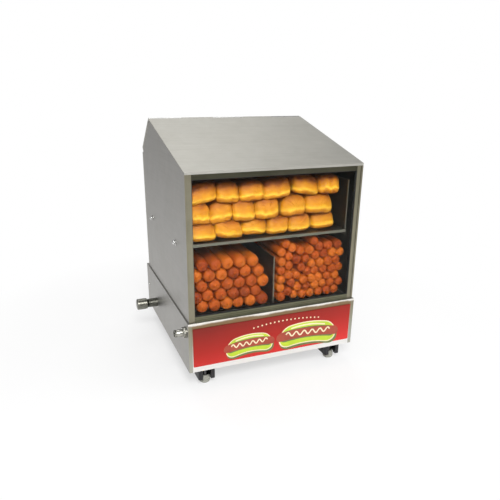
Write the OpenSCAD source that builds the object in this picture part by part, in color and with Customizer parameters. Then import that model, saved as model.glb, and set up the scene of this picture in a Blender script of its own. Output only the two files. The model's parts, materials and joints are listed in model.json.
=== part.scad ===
// Countertop hot dog steamer with a bun shelf: a glass-fronted steel cabinet on a heated water base.
// Millimetres, +Z up, the glass faces -Y. The origin lies on the bench, under the middle of the whole
// outline, drain pipe and handles included.

/* [Base] */
// Width of the base
base_w = 380; // [340:1:460]
// Depth of the base
base_d = 396; // [370:1:470]
// Height of the base without its feet
base_h = 109; // [100:1:140]
// Thickness of all sheet steel
sheet = 1.2; // [0.8:0.1:1.5]
// Width of the base's top flange
top_flange = 5; // [4:0.5:6]
// Height of the folded edges of plates
fold = 12; // [8:1:14]

/* [Feet] */
// Width of a square foot block
foot_w = 36; // [28:1:44]
// Height of a foot block
foot_block_h = 28; // [20:1:40]
// Diameter of a foot pad
pad_d = 23; // [18:1:27]
// Height of a foot pad below its block
pad_h = 14; // [8:1:18]
// Distance from the sides of the base to a foot block
foot_inset_x = 22; // [16:1:40]
// Distance from the front and back of the base to a foot block
foot_inset_y = 10; // [4:1:40]

/* [Cabinet] */
// Distance from the base's sides to the cabinet's sides
cab_inset = 3; // [1:0.5:4]
// Distance from the base's front to the cabinet's front
cab_setback = 4; // [2:0.5:6]
// Depth of the base's ledge behind the doors
ledge = 12; // [6:1:20]
// Height of the cabinet at its front, above the base
front_h = 295; // [285:1:360]
// Height of the roof's peak above the base
peak_h = 372; // [360:1:440]
// Height of the rear corner above the base
shoulder_h = 297; // [285:1:330]
// Distance from the cabinet's front to the roof's peak
peak_run = 290; // [260:1:310]
// Height of the lip along the roof's front edge
roof_lip = 4.5; // [3:0.5:8]

/* [Window] */
// Width of the frame on each side of the window
window_edge = 13; // [11:0.5:18]
// Height of the sill below the window
sill_h = 11; // [9:0.5:16]
// Height of the top of the window above the base
window_top = 280.5; // [262:0.5:282]
// Thickness of the glass
glass_t = 4; // [3:0.5:6]
// Thickness of the rubber on each face of the glass
seal_t = 1; // [0.8:0.1:2]
// Depth of the grooves that hold the glass
groove = 6; // [4:0.5:8]

/* [Trays] */
// Height of the bun shelf above the base
bun_floor_h = 156; // [130:1:170]
// Width of the bun tray
bun_tray_w = 348; // [300:1:348]
// Distance from the cabinet's middle to the middle of the bun tray, to the left
bun_tray_shift = 9; // [0:0.5:9]
// Depth of the bun tray
bun_tray_d = 300; // [240:1:310]
// Height of the bun tray's side walls
bun_wall_h = 105; // [60:1:112]
// Height of the hot dog tray's top above the base
dog_floor_h = 4; // [3:0.5:8]
// Height of the divider
divider_h = 109; // [80:1:120]

/* [Water pan] */
// Width of the pan's well
pan_w = 330; // [280:1:336]
// Depth of the pan's well, front to back
pan_run = 300; // [260:1:306]
// Height of the pan
pan_h = 83; // [70:1:86]
// Diameter of the heating element's tube
element_d = 8; // [6:0.5:10]
// Distance between the element's legs
element_pitch = 50; // [40:1:56]

/* [Drains] */
// Outer diameter of the drain pipe
drain_d = 21.3; // [17:0.1:24]
// Inner diameter of the drain pipe
drain_bore = 15.8; // [10:0.1:16]
// Distance from the base's front to the drain pipe
drain_y = 294; // [280:1:296]
// Height of the drain pipe above the base's underside
drain_z = 39; // [38:1:50]
// Reach of the drain cap beyond the base's side
drain_reach = 50; // [42:1:70]
// Outer diameter of the drain cap
cap_d = 27; // [26.5:0.1:32]
// Length of the drain cap
cap_len = 25; // [22:1:30]
// Outer diameter of the overflow tube
overflow_d = 15; // [12:0.1:15.4]
// Inner diameter of the overflow tube
overflow_bore = 12; // [8:0.1:12]
// Distance from the base's front to the overflow tube
overflow_y = 20; // [19.5:0.5:30]
// Height of the overflow tube above the base's underside
overflow_z = 84; // [76:1:86]
// Reach of the overflow tube beyond the base's side
overflow_reach = 24; // [16:1:40]

/* [Doors] */
// Depth of the doors' folded pans
door_t = 10; // [8:0.5:12]
// Gap between a closed door and its frame
door_gap = 2; // [1.5:0.5:3]
// Radius of the hinge knuckles
knuckle_r = 4; // [3.5:0.5:5]
// Diameter of the hinge pins
hinge_pin_d = 3; // [2.5:0.5:4]
// Length of a door handle
handle_l = 100; // [70:1:120]
// Reach of a door handle
handle_reach = 28; // [24:1:34]

/* [Controls] */
// Diameter of the thermostat knob's skirt
knob_d = 42; // [34:1:50]
// Reach of the thermostat knob
knob_h = 20; // [16:1:24]
// Diameter of the thermostat shaft
shaft_d = 6; // [5:0.5:7]
// Distance between neighbouring controls
control_pitch = 66; // [60:1:72]

/* [Hidden] */
$fn = 64;

// Clearances
slip = 0.1;           // around pieces that pass through a hole
run = 0.05;           // running fit, on the radius
apart = 0.4;          // between neighbouring pieces that move
eps = 1;              // how far a cut runs past a face

// Levels
z_base = foot_block_h + pad_h;
z_deck = z_base + base_h;
half_w = base_w / 2;
half_d = base_d / 2;

// Cabinet outline, in the Y-Z plane
cab_x = half_w - cab_inset;
y_front = -half_d + cab_setback;
y_back = half_d - ledge;
y_peak = y_front + peak_run;
z_front = z_deck + front_h;
z_peak = z_deck + peak_h;
z_shoulder = z_deck + shoulder_h;
roof_angle = atan2(z_peak - z_front, y_peak - y_front);
rear_angle = atan2(z_peak - z_shoulder, y_back - y_peak);
slope_len = norm([y_back - y_peak, z_peak - z_shoulder]);
frame_drop = door_t + door_gap;
y_frame = y_back - frame_drop;
hem_r = sheet;

// Whole outline
stud_head = 4;
stud_dome = 3.6;
reach_back = max(y_back + handle_reach, half_d + knob_h);
sign_t = 1.5;
middle_x = (drain_reach + cab_inset - stud_head - stud_dome) / 2;
middle_y = -(reach_back - half_d - sign_t) / 2;

// Water pan
pan_front = -half_d + top_flange + 5;
pan_back = pan_front + pan_run;
pan_rim = 5;
z_pan = z_deck - pan_h;
element_z = z_pan + sheet + 14;
juice_drop = 14;

// Sheet offsets measured square to the roof and to the rear slope
function shifted(p, angle, out) = [p[0] - out * sin(angle), p[1] + out * cos(angle)];
function cross2(a, b) = a[0] * b[1] - a[1] * b[0];
// Where the line through p at angle a meets the line through q at angle b
function meet(p, a, q, b) = p + [cos(a), sin(a)] * cross2(q - p, [cos(b), sin(b)])
    / cross2([cos(a), sin(a)], [cos(b), sin(b)]);
function roof_line(drop) = shifted([y_peak, z_peak], roof_angle, -drop);
function slope_line(drop) = shifted([y_peak, z_peak], -rear_angle, -drop);
function under_roof(y, drop) = meet(roof_line(drop), roof_angle, [y, 0], 90);

// Extrudes a Y-Z outline along X
module along_x(x0, x1) translate([x0, 0, 0]) rotate([90, 0, 90]) linear_extrude(x1 - x0) children();
module along_y(y0, y1) translate([0, y1, 0]) rotate([90, 0, 0]) linear_extrude(y1 - y0) children();
module block(lo, hi) translate(lo) cube(hi - lo);
module rod_x(x0, x1, y, z, r) translate([x0, y, z]) rotate([0, 90, 0]) cylinder(h = x1 - x0, r = r);
module rod_y(x, y0, y1, z, r) translate([x, y0, z]) rotate([-90, 0, 0]) cylinder(h = y1 - y0, r = r);
module rod_z(x, y, z0, z1, r) translate([x, y, z0]) cylinder(h = z1 - z0, r = r);
module both_sides() { children(); mirror([1, 0, 0]) children(); }
module placed() translate([middle_x, middle_y, 0]) children();
module rounded(w, h, r) {
    square([w - 2 * r, h], center = true);
    square([w, h - 2 * r], center = true);
    for (x = [-1, 1], y = [-1, 1]) translate([x * (w / 2 - r), y * (h / 2 - r)]) circle(r);
}
// A slot with round ends, along X
module slot(l, w) {
    square([l - w, w], center = true);
    for (x = [-1, 1]) translate([x * (l - w) / 2, 0]) circle(w / 2);
}
// Local frame on the rear slope: y runs down the slope from the peak, z points outward
module on_slope() translate([0, y_peak, z_peak]) rotate([-rear_angle, 0, 0]) children();

// ---- Base ----
drain_pos = [-half_d + drain_y, z_base + drain_z];
overflow_pos = [-half_d + overflow_y, z_base + overflow_z];
side_screw_pos = [half_d - 16, z_base + 56];
screw_r = 2;

module base_shell() color("silver") difference() {
    block([-half_w, -half_d, z_base], [half_w, half_d, z_deck]);
    block([-half_w + sheet, -half_d + sheet, z_base - eps], [half_w - sheet, half_d + eps, z_deck - sheet]);
    block([-half_w + top_flange, -half_d + top_flange, z_base], [half_w - top_flange, half_d + eps, z_deck + eps]);
    block([-in_x, in_y, z_base], [in_x, half_d + eps, z_deck + eps]);
    rod_x(-half_w - eps, 0, drain_pos[0], drain_pos[1], drain_d / 2 + 0.5);
    rod_x(-half_w - eps, 0, overflow_pos[0], overflow_pos[1], overflow_d / 2 + slip);
    rod_x(-half_w - eps, half_w + eps, side_screw_pos[0], side_screw_pos[1], screw_r + slip);
}

foot_x = half_w - foot_inset_x - foot_w / 2;
foot_y = half_d - foot_inset_y - foot_w / 2;
foot_screw_r = 3;
in_x = half_w - sheet;
in_y = half_d - sheet;

module base_bottom() color("gainsboro") difference() {
    block([-in_x, -in_y, z_base], [in_x, in_y, z_base + fold]);
    block([-in_x + sheet, -in_y + sheet, z_base + sheet], [in_x - sheet, in_y - sheet, z_base + fold + eps]);
    for (x = [-foot_x, foot_x], y = [-foot_y, foot_y])
        rod_z(x, y, z_base - eps, z_base + fold, foot_screw_r + slip);
    for (side = [-1, 1], i = [-3 : 3]) translate([side * 70, i * 18, z_base - eps])
        linear_extrude(sheet + 2 * eps) slot(70, 6);
}

module deck_plate() color("silver") difference() {
    block([-in_x, -in_y, z_deck - 2 * sheet], [in_x, in_y, z_deck - sheet]);
    block([-pan_w / 2 - slip, pan_front - slip, z_base], [pan_w / 2 + slip, pan_back + slip, z_deck]);
}

control_z = z_base + base_h * 0.53;
knob_x = -1.5 * control_pitch;
switch_x = -0.5 * control_pitch;
lamp_x = 0.3 * control_pitch;
inlet_x = 1.5 * control_pitch;
panel_fold = 20;
bushing_r = 5;
panel_screws_x = in_x - 10;
panel_screws_z = [z_base + 22, z_deck - 16];

module rear_panel() color("silver") difference() {
    union() {
        block([-in_x, in_y, z_base], [in_x, half_d, z_deck]);
        block([-half_w + top_flange + slip, in_y - fold, z_deck - sheet],
              [half_w - top_flange - slip, in_y, z_deck]);
        both_sides() block([in_x - sheet, in_y - panel_fold, z_base + fold + 2],
                           [in_x, in_y, z_deck - 2 * sheet - slip]);
    }
    rod_y(knob_x, in_y - eps, half_d + eps, control_z, bushing_r + slip);
    block([switch_x - switch_w / 2 - slip, in_y - eps, control_z - switch_h / 2 - slip],
          [switch_x + switch_w / 2 + slip, half_d + eps, control_z + switch_h / 2 + slip]);
    rod_y(lamp_x, in_y - eps, half_d + eps, control_z, lamp_r + slip);
    block([inlet_x - inlet_w / 2 - slip, in_y - eps, control_z - inlet_h / 2 - slip],
          [inlet_x + inlet_w / 2 + slip, half_d + eps, control_z + inlet_h / 2 + slip]);
    for (x = [-panel_screws_x, panel_screws_x], z = panel_screws_z)
        rod_y(x, in_y - eps, half_d + eps, z, screw_r + slip);
    rod_x(-half_w, half_w, side_screw_pos[0], side_screw_pos[1], screw_r + slip);
}

sign_w = base_w - 18;
sign_margin = 12;
module sign_panel() color("firebrick") translate([0, -half_d, z_base + base_h / 2])
    rotate([90, 0, 0]) linear_extrude(sign_t) rounded(sign_w, base_h - 2 * sign_margin, 1.5);

// ---- Feet ----
foot_edge = 3;
leg_gap = 1;
foot_web = 1.5;
pad_grip = 4;
pad_round = 2;
leg_r = 7.5;
leg_nut = [5.5, 4];
// A moulded block whose notch, round its leg, opens towards the front or back of the base
module foot_block(sx, sy) color("dimgray") translate([sx * foot_x, sy * foot_y, pad_h]) difference() {
    notch_r = leg_r + leg_gap;
    linear_extrude(foot_block_h) rounded(foot_w, foot_w, foot_edge);
    translate([0, 0, -eps]) linear_extrude(foot_block_h - foot_web + eps) {
        circle(notch_r);
        translate([-notch_r, sy > 0 ? 0 : -foot_w / 2 - eps]) square([2 * notch_r, foot_w / 2 + eps]);
    }
    translate([0, 0, -eps]) cylinder(h = pad_grip + eps, r = pad_d / 2 + slip);
    cylinder(h = foot_block_h + eps, r = foot_screw_r + slip);
}
module foot_pad() rotate_extrude() {
    translate([0, pad_round]) square([pad_d / 2, pad_h + pad_grip - pad_round]);
    square([pad_d / 2 - pad_round, 2 * pad_round]);
    translate([pad_d / 2 - pad_round, pad_round]) circle(pad_round);
}
module foot_pads() color("gray") for (x = [-foot_x, foot_x], y = [-foot_y, foot_y]) translate([x, y, 0]) foot_pad();
module foot_legs() color("silver") for (x = [-foot_x, foot_x], y = [-foot_y, foot_y]) {
    rod_z(x, y, pad_h + pad_grip, z_base - foot_web, leg_r);
    rod_z(x, y, z_base - foot_web, z_base + sheet, foot_screw_r);
    translate([x, y, z_base + sheet]) cylinder(h = leg_nut[1], r = leg_nut[0], $fn = 6);
}
screw_len = 10;
screw_head = [3.6, 2.2];
module case_screw() {
    cylinder(h = screw_len, r = screw_r);
    translate([0, 0, screw_len]) dome(screw_head[0], screw_head[1]);
}
module case_screws() color("silver") {
    for (x = [-panel_screws_x, panel_screws_x], z = panel_screws_z)
        translate([x, half_d - screw_len, z]) rotate([-90, 0, 0]) case_screw();
    both_sides() translate([half_w - screw_len, side_screw_pos[0], side_screw_pos[1]])
        rotate([0, 90, 0]) case_screw();
}

// ---- Water pan and drains ----
module water_pan() color("silver") difference() {
    union() {
        block([-pan_w / 2, pan_front, z_pan], [pan_w / 2, pan_back, z_deck]);
        block([-pan_w / 2 - pan_rim, pan_front - pan_rim + slip, z_deck - sheet],
              [pan_w / 2 + pan_rim, pan_back + pan_rim, z_deck]);
    }
    block([-pan_w / 2 + sheet, pan_front + sheet, z_pan + sheet],
          [pan_w / 2 - sheet, pan_back - sheet, z_deck + eps]);
    rod_x(-half_w, 0, drain_pos[0], drain_pos[1], drain_d / 2 + slip);
    rod_x(-half_w, 0, overflow_pos[0], overflow_pos[1], overflow_d / 2 + slip);
    for (x = [-1.5, 1.5]) rod_y(x * element_pitch, 0, pan_back + eps, element_z, element_d / 2 + slip);
    rod_y(bulb_x, 0, pan_back + eps, element_z, capillary_r + slip);
}

leg_front = pan_front + 30;
leg_back = pan_back - 34;
module element_bend(x, y, turn) translate([x, y, element_z]) rotate([0, 0, turn])
    rotate_extrude(angle = 180) translate([element_pitch / 2, 0]) circle(element_d / 2);
module heating_element() color("dimgray") {
    r = element_pitch / 2;
    for (side = [-1, 1]) {
        rod_y(side * 3 * r, leg_front + r, pan_back + 18, element_z, element_d / 2);
        rod_y(side * r, leg_front + r, leg_back - r, element_z, element_d / 2);
        element_bend(side * 2 * r, leg_front + r, 180);
        rod_y(side * 3 * r, pan_back + 18, pan_back + 26, element_z, element_d / 4);
    }
    element_bend(0, leg_back - r, 0);
}
module element_bushings() color("goldenrod") for (x = [-1.5, 1.5]) difference() {
    translate([x * element_pitch, pan_back, element_z]) rotate([-90, 0, 0]) cylinder(h = 8, r = 11, $fn = 6);
    rod_y(x * element_pitch, pan_back - eps, pan_back + 8 + eps, element_z, element_d / 2 + slip);
}

// A bent wire: straight rods between points, with a ball at each bend
module wire(points, r) {
    for (i = [0 : len(points) - 2]) {
        d = points[i + 1] - points[i];
        translate(points[i]) rotate([0, acos(d[2] / norm(d)), atan2(d[1], d[0])])
            cylinder(h = norm(d), r = r, $fn = 24);
    }
    for (i = [1 : 1 : len(points) - 2]) translate(points[i]) sphere(r, $fn = 24);
}

bulb_x = -115;
capillary_r = 1;
thermostat_front = in_y - 30;
module thermostat_bulb() color("peru") {
    rod_y(bulb_x, leg_front, leg_front + 80, element_z, 3.2);
    rise_y = pan_back + 14;
    wire([[bulb_x, leg_front + 80, element_z], [bulb_x, rise_y, element_z], [bulb_x, rise_y, control_z - 8],
          [knob_x, rise_y, control_z - 8], [knob_x, thermostat_front, control_z - 8]], capillary_r);
}

cap_end = -half_w - drain_reach;
cap_wall = 3;
seal_gap = 0.3;
seal_w = 1.4;
pipe_end = cap_end + cap_wall + seal_w + 2 * seal_gap;
module drain_pipe() color("darkgray") difference() {
    rod_x(pipe_end, -pan_w / 2 + 3, drain_pos[0], drain_pos[1], drain_d / 2);
    rod_x(pipe_end - eps, 0, drain_pos[0], drain_pos[1], drain_bore / 2);
}
module drain_lock_nut() color("darkgray") difference() {
    translate([-pan_w / 2 - 7, drain_pos[0], drain_pos[1]]) rotate([0, 90, 0])
        cylinder(h = 7, r = drain_d / 2 + 4.5, $fn = 6);
    rod_x(-half_w, 0, drain_pos[0], drain_pos[1], drain_d / 2 + slip);
}
module drain_seal() color("black") difference() {
    rod_x(cap_end + cap_wall + seal_gap, pipe_end - seal_gap, drain_pos[0], drain_pos[1], drain_d / 2 - 0.3);
    rod_x(cap_end, 0, drain_pos[0], drain_pos[1], drain_bore / 2 - 2);
}
module drain_cap() color("darkgray") difference() {
    translate([cap_end, drain_pos[0], drain_pos[1]]) rotate([0, 90, 0]) rotate_extrude() union() {
        translate([0, 0]) square([cap_d / 2 - 1, cap_len]);
        translate([0, 1]) square([cap_d / 2, cap_len - 1]);
    }
    rod_x(cap_end + cap_wall, 0, drain_pos[0], drain_pos[1], drain_d / 2 + run);
}

nut_t = 7;
shank_r = overflow_d / 2 - 0.2;
module overflow_tube() color("gainsboro") difference() {
    union() {
        rod_x(-half_w - overflow_reach, -half_w - nut_t, overflow_pos[0], overflow_pos[1], overflow_d / 2);
        rod_x(-half_w - nut_t, -pan_w / 2 + 2.5, overflow_pos[0], overflow_pos[1], shank_r);
    }
    rod_x(-half_w - overflow_reach - eps, 0, overflow_pos[0], overflow_pos[1], overflow_bore / 2);
}
module overflow_nut() color("gainsboro") difference() {
    union() {
        translate([-half_w - nut_t, overflow_pos[0], overflow_pos[1]]) rotate([0, 90, 0])
            cylinder(h = nut_t - 1.5, r = overflow_d / 2 + 4, $fn = 6);
        rod_x(-half_w - 1.5, -half_w, overflow_pos[0], overflow_pos[1], overflow_d / 2 + 4.2);
    }
    rod_x(-half_w - nut_t - eps, 0, overflow_pos[0], overflow_pos[1], overflow_d / 2 + slip);
}

// ---- Trays in the hot dog bay ----
vent_r = 11;
vent_pitch = [90, 88];
juice_x = pan_w / 2 - 10;
juice_front = pan_front + 16;
juice_back = pan_back - 14;
juice_floor = z_deck - juice_drop;
sill_back = y_front + sheet + glass_t + 2 * seal_t + 3;
module juice_tray() color("silver") {
    mid = (juice_front + juice_back) / 2;
    difference() {
        union() {
            block([-juice_x, juice_front, juice_floor], [juice_x, juice_back, z_deck + sheet]);
            block([-pan_w / 2 - 4, sill_back + 0.5, z_deck], [pan_w / 2 + 4, pan_back + 4, z_deck + sheet]);
        }
        difference() {
            block([-juice_x + sheet, juice_front + sheet, juice_floor + sheet],
                  [juice_x - sheet, juice_back - sheet, z_deck + sheet + eps]);
            for (i = [-1 : 1], j = [-1 : 1])
                rod_z(i * vent_pitch[0], mid + j * vent_pitch[1], juice_floor, z_deck - 4, vent_r);
        }
        for (i = [-1 : 1], j = [-1 : 1])
            rod_z(i * vent_pitch[0], mid + j * vent_pitch[1], juice_floor - eps, z_deck, vent_r - sheet);
    }
}

z_dogs = z_deck + dog_floor_h;
dog_x = cab_x - 9;
dog_front = sill_back + 1;
dog_back = y_frame - sheet - 4;
module dog_tray() color("gainsboro") difference() {
    union() {
        block([-dog_x, dog_front, z_dogs - sheet], [dog_x, dog_back, z_dogs]);
        both_sides() block([dog_x - sheet, dog_front, z_deck - sheet], [dog_x, dog_back, z_dogs]);
    }
    for (i = [-2 : 2], j = [-4 : 4]) translate([i * 64, (dog_front + pan_back) / 2 + j * 31, z_deck])
        linear_extrude(dog_floor_h + eps) slot(48, 6);
}

divider_hem = 1.5;
module divider() color("gainsboro") {
    block([-sheet / 2, dog_front + 3, z_dogs], [sheet / 2, dog_back - 3, z_dogs + divider_h - divider_hem]);
    block([-sheet / 2, dog_front + 3, z_dogs], [fold, dog_back - 3, z_dogs + sheet]);
    rod_y(0, dog_front + 3, dog_back - 3, z_dogs + divider_h - divider_hem, divider_hem);
    rod_z(0, dog_front + 3, z_dogs + sheet, z_dogs + divider_h - divider_hem, divider_hem);
}

// ---- Cabinet shell ----
post_front = y_front + sheet;
edge_fold = 4;
stud_r = 3;
stud_pos = [-half_d + 86, -half_d + 302];
stud_z = z_deck + bun_floor_h - 12;
module side_outline() polygon([
    [y_front, z_deck], [y_front, z_front - roof_lip], [post_front, z_front - roof_lip],
    under_roof(post_front, 2 * hem_r),
    meet(roof_line(2 * hem_r), roof_angle, slope_line(frame_drop), -rear_angle),
    meet(slope_line(frame_drop), -rear_angle, [y_frame, 0], 90),
    [y_frame, z_deck]
]);
module side_panel() difference() {
    union() {
        along_x(cab_x - sheet, cab_x) side_outline();
        block([cab_x - edge_fold, y_front, z_deck], [cab_x, post_front, z_front - roof_lip]);
        block([cab_x - fold, y_frame - 2 * sheet, z_deck], [cab_x - sheet, y_frame - sheet, frame_top - 8]);
    }
    for (y = stud_pos) rod_x(cab_x - 2 * sheet, cab_x + eps, y, stud_z, stud_r + slip);
}
module left_side() color("silver") mirror([1, 0, 0]) side_panel();
module right_side() color("silver") side_panel();

roof_end = knuckle_r + 0.5;
hinge_back = knuckle_r / tan((180 - roof_angle - rear_angle) / 2);
hinge_at = slope_line(knuckle_r) + hinge_back * [cos(rear_angle), -sin(rear_angle)];
roof_stop = meet(roof_line(0), roof_angle, hinge_at - roof_end * [cos(roof_angle), sin(roof_angle)],
                 roof_angle + 90);
module roof_panel() color("silver") {
    along_x(-cab_x, cab_x) polygon([
        [y_front, z_front - roof_lip], [y_front, z_front], roof_stop,
        shifted(roof_stop, roof_angle, -sheet), under_roof(post_front, sheet),
        [post_front, z_front - roof_lip]
    ]);
    start = under_roof(y_front + hem_r, hem_r);
    stop = shifted(roof_stop, roof_angle, -hem_r);
    both_sides() translate([cab_x, start[0], start[1]]) rotate([roof_angle - 90, 0, 0])
        cylinder(h = norm(stop - start), r = hem_r);
}

post_in = cab_x - window_edge;
channel_d = glass_t + 2 * seal_t + 3;
glass_y = post_front + channel_d / 2;
seal_half = glass_t / 2 + seal_t;
header_top = z_front - sheet / cos(roof_angle) - slip;
z_sill = z_deck + sill_h;
z_window = z_deck + window_top;
module window_post() difference() {
    block([post_in, post_front, z_deck], [cab_x - sheet, post_front + channel_d, header_top]);
    block([post_in - eps, glass_y - seal_half, z_sill - groove],
          [post_in + groove, glass_y + seal_half, z_window + groove]);
}
module window_post_left() color("lightgray") mirror([1, 0, 0]) window_post();
module window_post_right() color("lightgray") window_post();
module window_header() color("gray") difference() {
    block([-post_in, post_front, z_window], [post_in, post_front + channel_d, header_top]);
    block([-post_in - eps, glass_y - seal_half, z_window - eps],
          [post_in + eps, glass_y + seal_half, z_window + groove]);
}
module window_sill() color("gray") difference() {
    along_x(-post_in, post_in) union() {
        translate([post_front, z_deck]) square([channel_d, sill_h]);
        translate([y_front, z_deck]) square([sheet, 3]);
        translate([post_front, z_deck + 6.5]) circle(0.8, $fn = 24);
    }
    block([-post_in - eps, glass_y - seal_half, z_sill - groove],
          [post_in + eps, glass_y + seal_half, z_sill + eps]);
}
seal_in = 1;
module front_glass() color([0.7, 0.85, 0.85, 0.4])
    block([-post_in - groove + seal_t, glass_y - glass_t / 2, z_sill - groove + seal_t],
          [post_in + groove - seal_t, glass_y + glass_t / 2, z_window + groove - seal_t]);
module glass_seal() color("black") difference() {
    block([-post_in - groove, glass_y - seal_half, z_sill - groove],
          [post_in + groove, glass_y + seal_half, z_window + groove]);
    block([-post_in + seal_in, glass_y - seal_half - eps, z_sill + seal_in],
          [post_in - seal_in, glass_y + seal_half + eps, z_window - seal_in]);
    block([-post_in - groove + seal_t, glass_y - glass_t / 2, z_sill - groove + seal_t],
          [post_in + groove - seal_t, glass_y + glass_t / 2, z_window + groove - seal_t]);
}

// ---- Bun tray and its supports ----
z_buns = z_deck + bun_floor_h;
bun_front = sill_back + 4;
bun_back = bun_front + bun_tray_d;
bun_left = -bun_tray_shift - bun_tray_w / 2;
bun_right = bun_left + bun_tray_w;
module bun_tray() color("gainsboro") difference() {
    union() {
        block([bun_left, bun_front, z_buns - sheet], [bun_right, bun_back, z_buns]);
        block([bun_left, bun_front, z_buns - 6], [bun_right, bun_front + sheet, z_buns]);
        block([bun_left, bun_back - sheet, z_buns - sheet], [bun_right, bun_back, z_buns + 20]);
        for (x = [bun_left + sheet / 2, bun_right - sheet / 2]) {
            block([x - sheet / 2, bun_front, z_buns - sheet],
                  [x + sheet / 2, bun_back, z_buns + bun_wall_h - hem_r]);
            rod_y(x, bun_front, bun_back, z_buns + bun_wall_h - hem_r, hem_r);
            rod_z(x, bun_front + hem_r, z_buns, z_buns + bun_wall_h - hem_r, hem_r);
        }
    }
    for (i = [-2 : 2], j = [-1 : 1])
        translate([i * 58 - bun_tray_shift, (bun_front + bun_back) / 2 + j * 80, z_buns - 2])
            rotate(90) linear_extrude(4) slot(60, 6);
}

rail_front = bun_front + 30;
rail_back = bun_back - 12;
rail_z = z_buns - sheet;
rail_lap = 15;
// A rail on the right side, below a tray whose edge is at tray_x
module tray_rail(tray_x) difference() {
    union() {
        block([tray_x - rail_lap, rail_front, rail_z - sheet], [cab_x - sheet, rail_back, rail_z]);
        block([cab_x - 2 * sheet, rail_front, rail_z - 22], [cab_x - sheet, rail_back, rail_z]);
    }
    for (y = stud_pos) rod_x(cab_x - 3 * sheet, cab_x, y, stud_z, stud_r + slip);
}
module tray_rail_left() color("silver") mirror([1, 0, 0]) tray_rail(-bun_left);
module tray_rail_right() color("silver") tray_rail(bun_right);
module dome(r, h) rotate_extrude() intersection() {
    translate([0, h - (r * r + h * h) / (2 * h)]) circle((r * r + h * h) / (2 * h));
    square([r, h]);
}
module tray_studs() color("white") both_sides() for (y = stud_pos) {
    rod_x(cab_x - 2 * sheet - 6, cab_x, y, stud_z, stud_r);
    translate([cab_x, y, stud_z]) rotate([0, 90, 0]) {
        cylinder(h = 1.2, r = 6.5);
        cylinder(h = stud_head, r = 5.5, $fn = 6);
        translate([0, 0, stud_head]) dome(4.6, stud_dome);
    }
    difference() {
        translate([cab_x - 2 * sheet - 4, y, stud_z]) rotate([0, 90, 0]) cylinder(h = 4, r = 5.5, $fn = 6);
        rod_x(cab_x - 2 * sheet - 5, cab_x, y, stud_z, stud_r - eps);
    }
}

// ---- Bun door on the rear slope ----
hinge_y = hinge_back;
door_edge = 0.5;
door_x = cab_x - door_edge;
knuckles = 5;
knuckle_w = 2 * door_x / knuckles;
frame_ring = 20;
bun_hole_top = 20;
bun_hole_end = slope_len - 20;
corner_drop = 4;
bun_door_start = hinge_y + knuckle_r + 0.8;
bun_door_end = slope_len - corner_drop;
frame_top = meet(slope_line(frame_drop + sheet), -rear_angle, [y_frame - sheet, 0], 90)[1];
module bun_door_frame() color("silver") difference() {
    along_x(-cab_x + sheet, cab_x - sheet) polygon([
        meet(roof_line(2 * hem_r), roof_angle, slope_line(frame_drop), -rear_angle),
        meet(slope_line(frame_drop), -rear_angle, [y_frame, 0], 90),
        meet(slope_line(frame_drop + sheet), -rear_angle, [y_frame - sheet, 0], 90),
        meet(roof_line(2 * hem_r), roof_angle, slope_line(frame_drop + sheet), -rear_angle)
    ]);
    on_slope() block([-cab_x + frame_ring, bun_hole_top, -frame_drop - 5], [cab_x - frame_ring, bun_hole_end, 0]);
}
// Lengths of a hinge where one leaf has its knuckles
module knuckle_row(first) for (i = [first : 2 : knuckles - 1])
    translate([-door_x + i * knuckle_w + apart / 2, 0, 0]) children();
module bun_knuckle() translate([0, hinge_y, -knuckle_r]) rotate([0, 90, 0])
    cylinder(h = knuckle_w - apart, r = knuckle_r);
module bun_bore() translate([-cab_x, hinge_y, -knuckle_r]) rotate([0, 90, 0])
    cylinder(h = 2 * cab_x, r = hinge_pin_d / 2 + run);
module bun_door_hinge() color("gray") on_slope() difference() {
    union() {
        block([-door_x, hinge_y - 6, -frame_drop], [door_x, hinge_y + sheet / 2, -frame_drop + 1]);
        knuckle_row(0) {
            bun_knuckle();
            block([0, hinge_y - sheet / 2, -frame_drop], [knuckle_w - apart, hinge_y + sheet / 2, -knuckle_r]);
        }
    }
    bun_bore();
}
module bun_door_pin() color("white") on_slope() translate([-door_x, hinge_y, -knuckle_r]) rotate([0, 90, 0])
    cylinder(h = 2 * door_x, r = hinge_pin_d / 2);
module bun_door() color("silver") on_slope() difference() {
    union() {
        difference() {
            block([-door_x, bun_door_start, -door_t], [door_x, bun_door_end, 0]);
            block([-door_x + sheet, bun_door_start + sheet, -door_t - eps],
                  [door_x - sheet, bun_door_end - sheet, -sheet]);
        }
        knuckle_row(1) {
            bun_knuckle();
            block([0, hinge_y, -sheet], [knuckle_w - apart, bun_door_start, 0]);
        }
    }
    bun_bore();
}
bun_handle_y = bun_door_end - 24;
// A black pull: two legs and a round bar, standing on z = 0 and running along X
module pull_handle() {
    bar_r = 5.5;
    for (x = [-1, 1]) {
        translate([x * (handle_l / 2 - bar_r), 0, 0]) cylinder(h = handle_reach - bar_r, r = bar_r);
        translate([x * (handle_l / 2 - bar_r), 0, 0]) cylinder(h = 2.5, r = bar_r + 2.5);
        translate([x * (handle_l / 2 - bar_r), 0, handle_reach - bar_r]) sphere(bar_r);
    }
    translate([-handle_l / 2 + bar_r, 0, handle_reach - bar_r]) rotate([0, 90, 0])
        cylinder(h = handle_l - 2 * bar_r, r = bar_r);
}
module bun_door_handle() color("black") on_slope() translate([0, bun_handle_y, 0]) pull_handle();

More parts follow.
